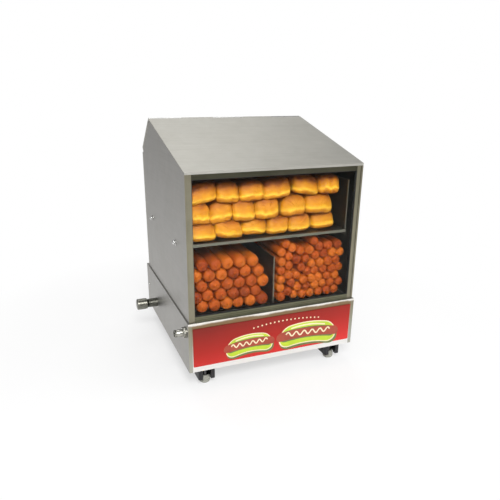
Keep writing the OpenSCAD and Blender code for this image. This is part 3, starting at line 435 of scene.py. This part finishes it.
def loop_solid(bm, outline, origin, u, v, w, depth, rim=0.0):
    """A flat outline given in the u, v plane, thickened along w, with its front edge eased by rim."""
    n = len(outline)
    centre = sum((Vector(p) for p in outline), Vector((0, 0))) / n
    levels = [(0.0, 0.0), (depth - rim, 0.0)] + ([(depth, rim)] if rim else [])
    rings = []
    for lift, inset in levels:
        ring = []
        for x, y in outline:
            toward = (centre - Vector((x, y))).normalized() * inset
            ring.append(bm.verts.new(Vector(origin) + u * (x + toward.x) + v * (y + toward.y) + w * lift))
        rings.append(ring)
    skin(bm, rings)


def centre_of(node):
    lo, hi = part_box(node)
    return (lo + hi) / 2


for name, obj in frame["nodes"].items():
    obj.data.materials.clear()
    obj.data.materials.append(MATERIALS[SLOT[name]])

# ---- Sheet metal, with eased edges ----
# The side, header, frame, sill and tray steels are darker copies of the plain steel that paint shade
for node, material in (
    ("base_shell", "side_steel_painted_shade"), ("left_side", "side_steel_painted_shade"), ("right_side", "side_steel_painted_shade"),
    ("rear_panel", "roof_steel"), ("deck_plate", "side_steel_painted_shade"), ("base_bottom", "side_steel_painted_shade"),
    ("roof_panel", "roof_steel"), ("window_header", "header_steel_painted_shade"), ("window_sill", "sill_steel_painted_shade"),
    ("window_post_left", "frame_steel"), ("window_post_right", "frame_steel"),
    ("bun_door_frame", "roof_steel"), ("rear_door_frame", "side_steel_painted_shade"),
    ("bun_door", "roof_steel"), ("rear_door", "roof_steel"), ("bun_door_hinge", "screw_steel"),
    ("rear_door_hinge", "screw_steel"), ("bun_tray", "tray_steel"), ("dog_tray", "tray_steel"),
    ("divider", "tray_steel"), ("juice_tray", "tray_steel"), ("water_pan", "tray_steel"),
    ("tray_rail_left", "tray_steel"), ("tray_rail_right", "tray_steel"),
):
    soften(node, SHEET_EDGE, material)
for node in ("switch_housing", "power_inlet", "switch_rocker", "terminal_block", "thermostat_body",
             "door_catches"):
    soften(node, MOULDED_EDGE)
for node in ("bun_door_handle", "rear_door_handle", "thermostat_knob"):
    soften(node, GRIP_EDGE, segments=3)
for node in ("heating_element", "element_bushings", "thermostat_bulb", "drain_lock_nut", "bun_door_pin",
             "rear_door_pin", "thermostat_shaft", "pilot_lamp", "glass_seal", "drain_seal", "wiring"):
    soften(node, SMALL_EDGE)

# The base's front faces frame the sign and carry its painted floor reflection and edge highlight; the cabinet
# sides' front faces take the darker frame steel and their inner faces a dark steel, both painted shade
front_shell = bpy.data.objects["base_shell_finished"]
front_shell.data.materials.append(MATERIALS["front_steel_painted_reflection"])
for face in front_shell.data.polygons:
    if face.normal.y < -FACING:
        face.material_index = 1

for side in ("left_side", "right_side"):
    flange = bpy.data.objects[side + "_finished"].data
    flange.materials.append(MATERIALS["frame_steel"])
    flange.materials.append(MATERIALS["inner_steel_painted_shade"])
    inward = 1 if side == "left_side" else -1
    for face in flange.polygons:
        # Front faces: darker steel painting shade; inner faces: dark steel painting the shade inside the
        # cabinet
        if face.normal.y < -FACING:
            face.material_index = 1
        elif face.normal.x * inward > FACING:
            face.material_index = 2

# ---- Feet ----
for node in ("foot_block_fl", "foot_block_fr", "foot_block_rl", "foot_block_rr"):
    soften(node, FOOT_EDGE, segments=3)


def islands(node):
    """Boxes of a CAD node's separate solids."""
    bm = bmesh.new()
    bm.from_mesh(frame["nodes"][node].data)
    bmesh.ops.remove_doubles(bm, verts=bm.verts, dist=1e-6)
    left = set(bm.verts)
    boxes = []
    while left:
        stack = [left.pop()]
        found = list(stack)
        while stack:
            for edge in stack.pop().link_edges:
                for vert in edge.verts:
                    if vert in left:
                        left.remove(vert)
                        stack.append(vert)
                        found.append(vert)
        lo = Vector([min(v.co[i] for v in found) for i in range(3)])
        hi = Vector([max(v.co[i] for v in found) for i in range(3)])
        boxes.append((lo, hi))
    bm.free()
    return boxes


pads = bmesh.new()
for lo, hi in islands("foot_pads"):
    r = (hi.x - lo.x) / 2
    h = hi.z - lo.z
    foot = ((lo.x + hi.x) / 2, (lo.y + hi.y) / 2, lo.z)
    lathe(pads, [(0, 0.70 * r), (0.03 * h, 0.80 * r), (0.10 * h, 0.93 * r), (0.20 * h, 0.99 * r), (0.30 * h, r),
                 (0.34 * h, 0.955 * r), (0.40 * h, 0.955 * r), (0.44 * h, r), (0.62 * h, 0.99 * r),
                 (0.72 * h, 0.93 * r), (0.80 * h, 0.90 * r), (0.97 * h, 0.89 * r), (h, 0.86 * r)],
          foot, (0, 0, 1))
piece("foot_pads_finished", pads, "pad_grey", "root", ("foot_pads",))

legs = bmesh.new()
for lo, hi in islands("foot_legs"):
    r = (hi.x - lo.x) / 2
    x, y = (lo.x + hi.x) / 2, (lo.y + hi.y) / 2
    lathe(legs, [(0, 0.90 * r), (0.8 * MM, r), (2.4 * MM, r), (3.0 * MM, 0.93 * r), (3.6 * MM, r), (20 * MM, r),
                 (20.8 * MM, 0.96 * r), (22.5 * MM, 0.96 * r), (22.5 * MM, 2.9 * MM), (27 * MM, 2.9 * MM)],
          (x, y, lo.z), (0, 0, 1))
    lathe(legs, [(0, 0.9 * NUT_R), (0.4 * MM, NUT_R), (3.4 * MM, NUT_R), (NUT_H, 0.88 * NUT_R)],
          (x, y, hi.z - NUT_H), (0, 0, 1), segments=6)
piece("foot_legs_finished", legs, "leg_steel", "root", ("foot_legs",))

# ---- Acorn nuts that hold the bun shelf, and the case screws ----
studs = bmesh.new()
for lo, hi in islands("tray_studs"):
    centre = (lo + hi) / 2
    side = 1 if centre.x > 0 else -1
    if hi.x - lo.x < 6 * MM:
        lathe(studs, [(0, 4.9 * MM), (0.5 * MM, NUT_R), (3.4 * MM, NUT_R), (NUT_H, 4.9 * MM)],
              (centre.x - side * 2 * MM, centre.y, centre.z), (side, 0, 0), segments=6, phase=0.3)
        continue
    face = (hi.x if side > 0 else lo.x) - side * 7.6 * MM
    at, way = (face, centre.y, centre.z), (side, 0, 0)
    lathe(studs, [(-8 * MM, 2.6 * MM), (-7.6 * MM, 3 * MM), (0.1 * MM, 3 * MM)], at, way)
    lathe(studs, [(0, 6.3 * MM), (0.2 * MM, 6.5 * MM), (1.0 * MM, 6.5 * MM), (1.2 * MM, 6.2 * MM)], at, way)
    lathe(studs, [(1.2 * MM, 5.1 * MM), (1.7 * MM, NUT_R), (3.5 * MM, NUT_R), (4.05 * MM, 4.8 * MM)],
          at, way, segments=6, phase=0.5)
    dome = [(4.0 * MM + 3.6 * MM * math.sin(t), max(4.6 * MM * math.cos(t), 0.05 * MM))
            for t in (0, 0.15, 0.35, 0.6, 0.85, 1.1, 1.3, 1.45, 1.56)]
    lathe(studs, dome, at, way, segments=32)
piece("tray_studs_finished", studs, "screw_steel", "root", ("tray_studs",))

screws = bmesh.new()
for lo, hi in islands("case_screws"):
    size = hi - lo
    long = max(range(3), key=lambda i: size[i])
    way = Vector((0, 0, 0))
    way[long] = 1 if (lo + hi)[long] > 0 else -1
    head = (lo + hi) / 2
    head[long] = (hi[long] if way[long] > 0 else lo[long]) - way[long] * HEAD_H
    turned(screws, head, way, [(-9.6 * MM, 0.3 * MM), (-9.6 * MM, 1.9 * MM), (0, 1.9 * MM), (0, HEAD_R),
                               (0.7 * MM, 3.5 * MM), (1.5 * MM, 2.9 * MM), (2.1 * MM, 1.9 * MM),
                               (HEAD_H, 1.35 * MM), (2.15 * MM, 1.25 * MM), (0.8 * MM, 1.1 * MM),
                               (0.7 * MM, 0.3 * MM)], 24)
piece("case_screws_finished", screws, "screw_steel", "root", ("case_screws",))

# ---- Drain and overflow ----
lo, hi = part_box("drain_pipe")
pipe_r = (hi.z - lo.z) / 2
pipe_at = (hi.x, centre_of("drain_pipe").y, centre_of("drain_pipe").z)
pipe_l = hi.x - lo.x
outer = []
for i in range(int(THREADED_L / THREAD)):
    start = pipe_l - i * THREAD
    outer += [(start, pipe_r - 0.9 * MM if i == 0 else pipe_r - 0.75 * MM), (start - THREAD / 2, pipe_r)]
profile = [(0, pipe_r)] + list(reversed(outer)) + [(pipe_l, DRAIN_BORE_R), (0, DRAIN_BORE_R)]
bm = bmesh.new()
turned(bm, pipe_at, (-1, 0, 0), profile, 48)
piece("drain_pipe_finished", bm, "thread_steel", "root", ("drain_pipe",), 30)

lo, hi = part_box("drain_cap")
cap_r = (hi.z - lo.z) / 2
cap_l = hi.x - lo.x
cap_at = (lo.x, centre_of("drain_cap").y, centre_of("drain_cap").z)
bm = bmesh.new()
turned(bm, cap_at, (1, 0, 0), [
    (0.0, 0.4 * MM), (0.0, cap_r - 3.2 * MM), (0.25 * MM, cap_r - 2.2 * MM), (1.1 * MM, cap_r - 0.7 * MM),
    (2.2 * MM, cap_r), (4.6 * MM, cap_r), (5.0 * MM, cap_r - 0.35 * MM), (5.6 * MM, cap_r - 0.35 * MM),
    (6.0 * MM, cap_r), (cap_l - 5.0 * MM, cap_r), (cap_l - 4.6 * MM, cap_r - 0.4 * MM),
    (cap_l - 0.8 * MM, cap_r - 0.4 * MM), (cap_l, cap_r - 1.2 * MM), (cap_l, pipe_r + 0.6 * MM),
    (cap_l - 1 * MM, pipe_r + 0.08 * MM), (3.4 * MM, pipe_r + 0.08 * MM), (3.0 * MM, pipe_r - 0.4 * MM),
    (3.0 * MM, 0.4 * MM)], 48)
piece("drain_cap_finished", bm, "pipe_steel", "drain_cap", ("drain_cap",), 35)

lo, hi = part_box("overflow_tube")
tube_r = (hi.z - lo.z) / 2
tube_l = hi.x - lo.x
bm = bmesh.new()
turned(bm, (lo.x, centre_of("overflow_tube").y, centre_of("overflow_tube").z), (1, 0, 0), [
    (0, OVERFLOW_BORE_R + 0.35 * MM), (0, tube_r - 0.5 * MM), (0.5 * MM, tube_r), (3.2 * MM, tube_r),
    (3.7 * MM, tube_r - 0.3 * MM), (4.5 * MM, tube_r - 0.3 * MM), (5.0 * MM, tube_r), (16.8 * MM, tube_r),
    (17.0 * MM, tube_r - 0.2 * MM), (tube_l, tube_r - 0.2 * MM), (tube_l, OVERFLOW_BORE_R),
    (0.4 * MM, OVERFLOW_BORE_R)], 40)
piece("overflow_tube_finished", bm, "nut_steel", "root", ("overflow_tube",), 35)

lo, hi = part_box("overflow_nut")
nut_at = (hi.x, centre_of("overflow_nut").y, centre_of("overflow_nut").z)
bm = bmesh.new()
collar = ((0, 0.1), (0, 4.0), (0.2, 4.2), (1.3, 4.2), (1.5, 4.0), (1.5, 0.1))
hexagon = ((1.5, 0.1), (1.5, 3.4), (2.1, 4.0), (6.3, 4.0), (7.0, 3.1), (7.0, 0.1))
turned(bm, nut_at, (-1, 0, 0), [(along * MM, tube_r + out * MM) for along, out in collar], 40)
turned(bm, nut_at, (-1, 0, 0), [(along * MM, tube_r + out * MM) for along, out in hexagon], 6, 0.2)
piece("overflow_nut_finished", bm, "nut_steel", "root", ("overflow_nut",), 25)

# ---- Printed sign ----
sign_lo, sign_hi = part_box("sign_panel")
soften("sign_panel", SIGN_EDGE)
SIGN_FACE = sign_lo.y + 0.1 * MM
ACROSS, UP, OUT = Vector((1, 0, 0)), Vector((0, 0, 1)), Vector((0, -1, 0))
sign_mid = (sign_lo + sign_hi) / 2


def turned_point(p, centre, tilt):
    c, s = math.cos(tilt), math.sin(tilt)
    return (centre[0] + p[0] * c - p[1] * s, centre[1] + p[0] * s + p[1] * c)


def capsule(length, radius, steps=14, bow=0.0):
    """A bar with round ends, bowed upward in its middle."""
    half = length / 2 - radius
    right = [(half + radius * math.cos(t), radius * math.sin(t))
             for t in (math.pi * (i / steps - 0.5) for i in range(steps + 1))]
    top = [(half * (1 - 2 * i / steps), radius) for i in range(1, steps)]
    left = [(-x, -y) for x, y in right]
    bottom = [(-half * (1 - 2 * i / steps), -radius) for i in range(1, steps)]
    return [(x, y - bow * (x / max(half, 1e-6)) ** 2) for x, y in right + top + left + bottom]


def ribbon(length, sway, waves, width, steps=60):
    """A squiggle with a constant width."""
    upper, lower = [], []
    for i in range(steps + 1):
        t = i / steps
        x = (t - 0.5) * length
        y = sway * math.sin(2 * math.pi * waves * t)
        slope = sway * math.cos(2 * math.pi * waves * t) * 2 * math.pi * waves / length
        n = math.hypot(slope, 1)
        upper.append((x - slope / n * width / 2, y + width / 2 / n))
        lower.append((x + slope / n * width / 2, y - width / 2 / n))
    return lower + upper[::-1]


def sign_print(bm, outline, centre, tilt, layer):
    points = [turned_point(p, centre, tilt) for p in outline]
    loop_solid(bm, points, (sign_mid.x, SIGN_FACE, sign_mid.z), ACROSS, UP, OUT, (0.1 + 0.07 * layer) * MM)


def pictogram(layers, centre, length, height, tilt):
    """A hot dog in a bun, drawn with plain bars."""
    r = height / 2
    drop = height * 0.10
    sign_print(layers["print_shade"], capsule(length * 1.06, r * 1.12, bow=drop),
               (centre[0] + 0.02 * length, centre[1] - drop), tilt, 1)
    sign_print(layers["print_cream"], capsule(length * 1.04, r * 1.10, bow=drop), centre, tilt, 2)
    sign_print(layers["print_lime"], capsule(length, r, bow=drop), centre, tilt, 3)
    sign_print(layers["print_shade"], capsule(length, r * 0.56, bow=drop), centre, tilt, 4)
    sign_print(layers["print_red"], capsule(length * 1.13, r * 0.46, bow=drop), centre, tilt, 5)
    sign_print(layers["print_cream"], ribbon(length * 0.8, r * 0.2, 5.5, r * 0.14), centre, tilt, 6)
    sign_print(layers["print_cream"], capsule(length * 0.62, r * 0.07, bow=drop),
               (centre[0], centre[1] + r * 0.78), tilt, 4)


layers = {name: bmesh.new() for name in ("print_shade", "print_cream", "print_lime", "print_red")}
sign_half = (sign_hi.x - sign_lo.x) / 2
pictogram(layers, (-0.33 * sign_half, -0.10 * SIGN_TALL), 0.56 * sign_half, 38 * MM, math.radians(2))
pictogram(layers, (0.43 * sign_half, -0.08 * SIGN_TALL), 0.74 * sign_half, 46 * MM, math.radians(-2))
for i in range(17):
    t = i / 16 * 2 - 1
    dot = [(math.cos(a) * 1.7 * MM, math.sin(a) * 1.7 * MM) for a in (math.pi * k / 8 for k in range(16))]
    sign_print(layers["print_cream"], dot, ((0.14 + 0.42 * t) * sign_half, (30 - 6 * t * t) * MM), 0, 2)
for name, bm in layers.items():
    piece("sign_" + name, bm, name, "root")

# ---- Thermostat dial on the rear panel ----
knob_lo, knob_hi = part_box("thermostat_knob")
knob_mid = (knob_lo + knob_hi) / 2
knob_r = (knob_hi.x - knob_lo.x) / 2
panel_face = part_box("rear_panel")[1].y
BACK = Vector((0, 1, 0))
RIGHTWARD = Vector((-1, 0, 0))
bm = bmesh.new()
for i in range(11):
    a = math.radians(-135 + 27 * i - 90)
    long = 5 if i % 5 == 0 else 3.2
    radial = (math.cos(a), math.sin(a))
    wide = 0.55 * MM + 0.03 * i * MM
    near, far = knob_r + 2 * MM, knob_r + (2 + long) * MM
    corners = [(radial[0] * d - radial[1] * s * wide, radial[1] * d + radial[0] * s * wide)
               for d, s in ((near, -1), (far, -1), (far, 1), (near, 1))]
    loop_solid(bm, corners, (knob_mid.x, panel_face - 0.1 * MM, knob_mid.z), RIGHTWARD, UP, BACK, 0.22 * MM)
piece("dial_marks", bm, "dial_print", "root")
bm = bmesh.new()
pointer = [(-0.9 * MM, -knob_r + 2.2 * MM), (0.9 * MM, -knob_r + 2.2 * MM), (0.9 * MM, -4 * MM),
           (-0.9 * MM, -4 * MM)]
loop_solid(bm, pointer, (knob_mid.x, knob_hi.y - 0.1 * MM, knob_mid.z), RIGHTWARD, UP, BACK, 0.3 * MM)
piece("knob_pointer", bm, "white_print", "thermostat_knob")

# ---- Food on show ----
rng = np.random.default_rng(SEED)


def settle(count, radius, left, right, floor):
    """Drops round things into a bin, seen end on, and lets them push each other into a heap."""
    r = radius * rng.uniform(0.965, 1.035, count)
    row = max(1, int((right - left) / (2 * radius)))
    place = np.arange(count) % row + rng.uniform(0, 0.7, count)
    x = left + radius + place * (right - left - 2 * radius) / (row - 0.3)
    z = floor + radius + (np.arange(count) // row) * 2.2 * radius
    reach = r[:, None] + r[None, :]
    for _ in range(500):
        z = z - 0.03 * radius
        for _ in range(4):
            dx = x[:, None] - x[None, :]
            dz = z[:, None] - z[None, :]
            gap = np.hypot(dx, dz) + np.eye(count) * 9
            push = 0.42 * np.clip(reach - gap, 0, None) / gap
            x = np.clip(x + (dx * push).sum(1), left + r, right - r)
            z = np.maximum(z + (dz * push).sum(1), floor + r)
    return zip(x, z, r)


# Distance from the end and radius, both as shares of the full radius
SAUSAGE_END = ((-0.15, 0.06), (-0.13, 0.13), (-0.04, 0.17), (-0.01, 0.34), (0.03, 0.55), (0.12, 0.76),
               (0.26, 0.89), (0.50, 0.97), (0.9, 1.0))


def sausage(bm, tones, x, z, radius, start, length):
    """One sausage along Y: blunt ends with a tied-off nub, a slight bend, and a wrinkled skin."""
    tone = rng.uniform(0, 1)
    bend = rng.normal(0, 0.5) * MM
    yaw = rng.normal(0, 0.5) * MM
    turn = rng.uniform(0, 6.28)
    profile = [(a * radius, b) for a, b in SAUSAGE_END]
    profile += [(length * f, 1.0) for f in (0.25, 0.5, 0.75)]
    profile += [(length - a * radius, b) for a, b in reversed(SAUSAGE_END)]
    rings = []
    for along, scale in profile:
        t = along / length
        cx = x + bend * math.sin(math.pi * t) + yaw * (2 * t - 1)
        cz = z + bend * 0.5 * math.cos(math.pi * t)
        ring = []
        for i in range(18):
            a = turn + 2 * math.pi * i / 18
            pucker = 1 + 0.035 * math.sin(9 * a) * max(0.0, 1 - min(t, 1 - t) * length / (1.2 * radius))
            bump = 1 + 0.03 * noise.noise(Vector((cx * 40 + math.cos(a), along * 30, z * 40 + math.sin(a))))
            r = radius * scale * pucker * bump
            ring.append(bm.verts.new((cx + r * math.cos(a), start + along, cz + r * math.sin(a))))
        rings.append(ring)
    skin(bm, rings)
    for ring in rings:
        for vert in ring:
            vert[tones] = tone


def sausage_heap(name, count, radius, left, right, floor, start, length):
    bm = bmesh.new()
    tones = bm.verts.layers.float.new("tone")
    for x, z, r in settle(count, radius, left, right, floor):
        sausage(bm, tones, x, z, r, start + rng.uniform(-2.5, 3.5) * MM, length + rng.uniform(-3, 3) * MM)
    piece(name, bm, "sausage_skin", "root", smooth_angle=80)


dog_lo, dog_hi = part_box("dog_tray")
div_lo, div_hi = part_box("divider")
DOG_LENGTH = 148 * MM
front_row, rear_row = dog_lo.y + 12 * MM, dog_lo.y + 165 * MM
for end, start, extra in (("front", front_row, 0), ("rear", rear_row, 4)):
    sausage_heap("stock_hot_dogs_left_" + end, 29 + extra, 13 * MM, dog_lo.x + 3 * MM, div_lo.x - 3 * MM,
                 dog_hi.z + 0.5 * MM, start, DOG_LENGTH)
    sausage_heap("stock_hot_dogs_right_" + end, 53 + extra, 10.25 * MM, div_hi.x + 1 * MM, dog_hi.x - 3 * MM,
                 dog_hi.z + 1.5 * MM, start, DOG_LENGTH)


def bun(bm, level, tones, top_shade, left, right, floor, top, start, length):
    """One bun along Y: a broad crown, a ragged torn ridge low on each end, a flat foot and soft corners.
    top_shade is how much painted shade darkens its crown."""
    tone = rng.uniform(0, 1)
    seed = rng.uniform(0, 50, 3)
    half = (right - left) / 2
    middle = (left + right) / 2
    tall = top - floor
    around, slices = 44, 34
    lean = rng.normal(0, 0.05)
    tilt = rng.normal(0.02, 0.06)
    ridge_at = rng.uniform(0.28, 0.38)
    rings = []
    for j in range(slices + 1):
        t = j / slices
        along = length * (0.5 - 0.5 * math.cos(math.pi * t))
        way = -1 if t < 0.5 else 1
        d = min(min(along, length - along) / (0.62 * half), 1)
        swell = max((1 - (1 - d) ** 2.6) ** (1 / 2.4), 0.04)
        ring = []
        for i in range(around):
            a = 2 * math.pi * i / around
            c, s = math.cos(a), math.sin(a)
            x = math.copysign(abs(c) ** 0.52, c)
            z = (0.32 + 0.68 * abs(s) ** 0.58) if s > 0 else (0.32 - 0.32 * abs(s) ** 0.42)
            x *= 1 - 0.07 * math.exp(-((z - 0.46) / 0.06) ** 2) - 0.05 * max(0.0, z - 0.75)
            dent = noise.noise(Vector((x * 1.2 + seed[0], along * 15 + seed[1], z * 2.0 + seed[2])))
            fine = noise.noise(Vector((x * 6 + seed[1], along * 80, z * 8 + seed[0])))
            height = 0.36 + (z - 0.36) * (0.30 + 0.70 * swell) * (1 + 0.10 * dent)
            wavy = ridge_at + 0.13 * noise.noise(Vector((x * swell * 2.2 + seed[2], seed[0], way)))
            ridge = math.exp(-((height - wavy) / 0.055) ** 2)
            slope = max(0.0, height - wavy)
            out = (1 - 0.7 * d) * (3.4 * ridge - 9.0 * slope + 1.2 * fine) * MM
            px = middle + half * x * swell * (1 + 0.07 * dent + 0.014 * fine) + lean * (z - 0.3) * tall
            pz = floor + tall * height + tilt * (px - middle)
            vert = bm.verts.new((px, start + along + way * out, max(pz, floor)))
            rise = height - wavy
            # Above the ridge the level is raised by the row's painted shade, darkening the crown
            vert[level] = rise * (1 + top_shade * (rise > 0)) + 0.33
            vert[tones] = tone
            ring.append(vert)
        rings.append(ring)
    skin(bm, rings)


def bun_set(name, left, right, floor, start, length):
    """Three rows of six buns, each row squeezed side by side, standing on the one below."""
    bm = bmesh.new()
    level = bm.verts.layers.float.new("level")
    tones = bm.verts.layers.float.new("tone")
    base = floor
    # Each row's last number is painted shade on its crowns: the top row's crowns are darker, standing for the
    # shade under the header
    rows = ((37 * MM, 0.995, 0, 4, 0.0), (43 * MM, 0.965, 2 * MM, 3, 0.0), (40 * MM, 1.0, 5 * MM, 3, 0.3))
    for height, span, lift, gap_after, top_shade in rows:
        widths = rng.uniform(0.82, 1.18, 6)
        gap = rng.uniform(5, 9) * MM
        widths *= ((right - left) * span - gap) / widths.sum()
        x = left
        for k, width in enumerate(widths):
            squeeze = rng.uniform(0.3, 1.4) * MM
            raised = base + (lift if k > 3 else 0) + rng.uniform(-1.4, 1.6) * MM
            bun(bm, level, tones, top_shade, x - squeeze, x + width + squeeze, max(raised, floor), raised + height,
                start + rng.uniform(-4, 5) * MM, length + rng.uniform(-5, 2) * MM)
            x += width + (gap if k == gap_after else 0)
        base += height - 4.5 * MM
    piece(name, bm, "bun_crust", "root", smooth_angle=80)


tray_lo, tray_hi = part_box("bun_tray")
BUN_LENGTH = 142 * MM
for end, start in (("front", tray_lo.y + 8 * MM), ("rear", tray_lo.y + 153 * MM)):
    bun_set("stock_buns_" + end, tray_lo.x + 3.5 * MM, tray_hi.x - 16 * MM, tray_lo.z + 6.3 * MM, start,
            BUN_LENGTH)

# ---- Camera, floor and light ----
cam_data = bpy.data.cameras.new("camera")
cam_data.sensor_width = 36
cam_data.lens = 36.55
cam_data.shift_x = 0.0138
cam_data.shift_y = 0.0484
camera = bpy.data.objects.new("camera", cam_data)
camera.location = (-0.4000, -1.0793, 0.5893)
camera.rotation_mode = "XYZ"
look = Matrix.Rotation(math.radians(-21.74), 3, "Z") @ Matrix.Rotation(math.radians(90 - 20.30), 3, "X") \
    @ Matrix.Rotation(math.radians(0.47), 3, "Z")
camera.rotation_euler = look.to_euler()
bpy.context.collection.objects.link(camera)
bpy.context.scene.camera = camera


def area_light(name, location, target, size, energy, colour=(1, 1, 1)):
    data = bpy.data.lights.new(name, "AREA")
    data.shape = "SQUARE"
    data.size = size
    data.energy = energy
    data.color = colour
    light = bpy.data.objects.new(name, data)
    light.location = location
    light.rotation_euler = (Vector(target) - Vector(location)).to_track_quat("-Z", "Y").to_euler()
    bpy.context.collection.objects.link(light)


area_light("key", (-0.45, -1.6, 1.45), (0.0, -0.1, 0.3), 0.8, 32)
area_light("fill", (1.7, -0.9, 1.0), (0.0, 0.0, 0.25), 1.2, 8)
area_light("top", (0.1, 0.9, 2.2), (0.0, 0.0, 0.3), 1.4, 12)

world = bpy.data.worlds.new("studio")
bpy.context.scene.world = world
world.use_nodes = True
tree = world.node_tree
surround = tree.nodes["Background"]
surround.inputs[0].default_value = (1.0, 1.0, 1.0, 1)
surround.inputs[1].default_value = 0.42
backdrop = tree.nodes.new("ShaderNodeBackground")
backdrop.inputs[0].default_value = (1.0, 1.0, 1.0, 1)
backdrop.inputs[1].default_value = 1.0
chosen = tree.nodes.new("ShaderNodeMixShader")
tree.links.new(tree.nodes.new("ShaderNodeLightPath").outputs["Is Camera Ray"], chosen.inputs[0])
tree.links.new(surround.outputs[0], chosen.inputs[1])
tree.links.new(backdrop.outputs[0], chosen.inputs[2])
tree.links.new(chosen.outputs[0], tree.nodes["World Output"].inputs[0])
bpy.context.scene.view_settings.view_transform = "Standard"

bm = bmesh.new()
bmesh.ops.create_grid(bm, x_segments=1, y_segments=1, size=30)
floor_mesh = bpy.data.meshes.new("floor")
bm.to_mesh(floor_mesh)
bm.free()
floor = bpy.data.objects.new("floor", floor_mesh)
bpy.context.collection.objects.link(floor)
paper = Shader("floor_paper", Specular_IOR_Level=0.1)
paper.finish(Base_Color=paper.ramp(paper.noise(3, 3), (0.3, (0.93, 0.93, 0.93)), (0.7, (0.96, 0.96, 0.96))),
             Roughness=paper.spread(paper.noise(40), 0.7, 0.9))
glow = paper.add("Emission", Color=(1.0, 1.0, 1.0), Strength=1.0)
away = paper.add("VectorMath", {"operation": "LENGTH"})
paper.put(away.inputs[0], paper.coord)
rays = paper.add("LightPath")
far = paper.add("MapRange", Value=away.outputs["Value"], From_Min=0.25, From_Max=0.75, To_Min=0.55,
                To_Max=1.0).outputs[0]
seen = paper.math("MULTIPLY", far, rays.outputs["Is Camera Ray"])
mirrored = paper.math("MULTIPLY", rays.outputs["Is Glossy Ray"], 0.3)
lit = paper.add("MixShader", Fac=paper.math("MAXIMUM", seen, mirrored))
paper.tree.links.new(paper.bsdf.outputs[0], lit.inputs[1])
paper.tree.links.new(glow.outputs[0], lit.inputs[2])
paper.tree.links.new(lit.outputs[0], paper.out.inputs[0])
floor_mesh.materials.append(paper.mat)
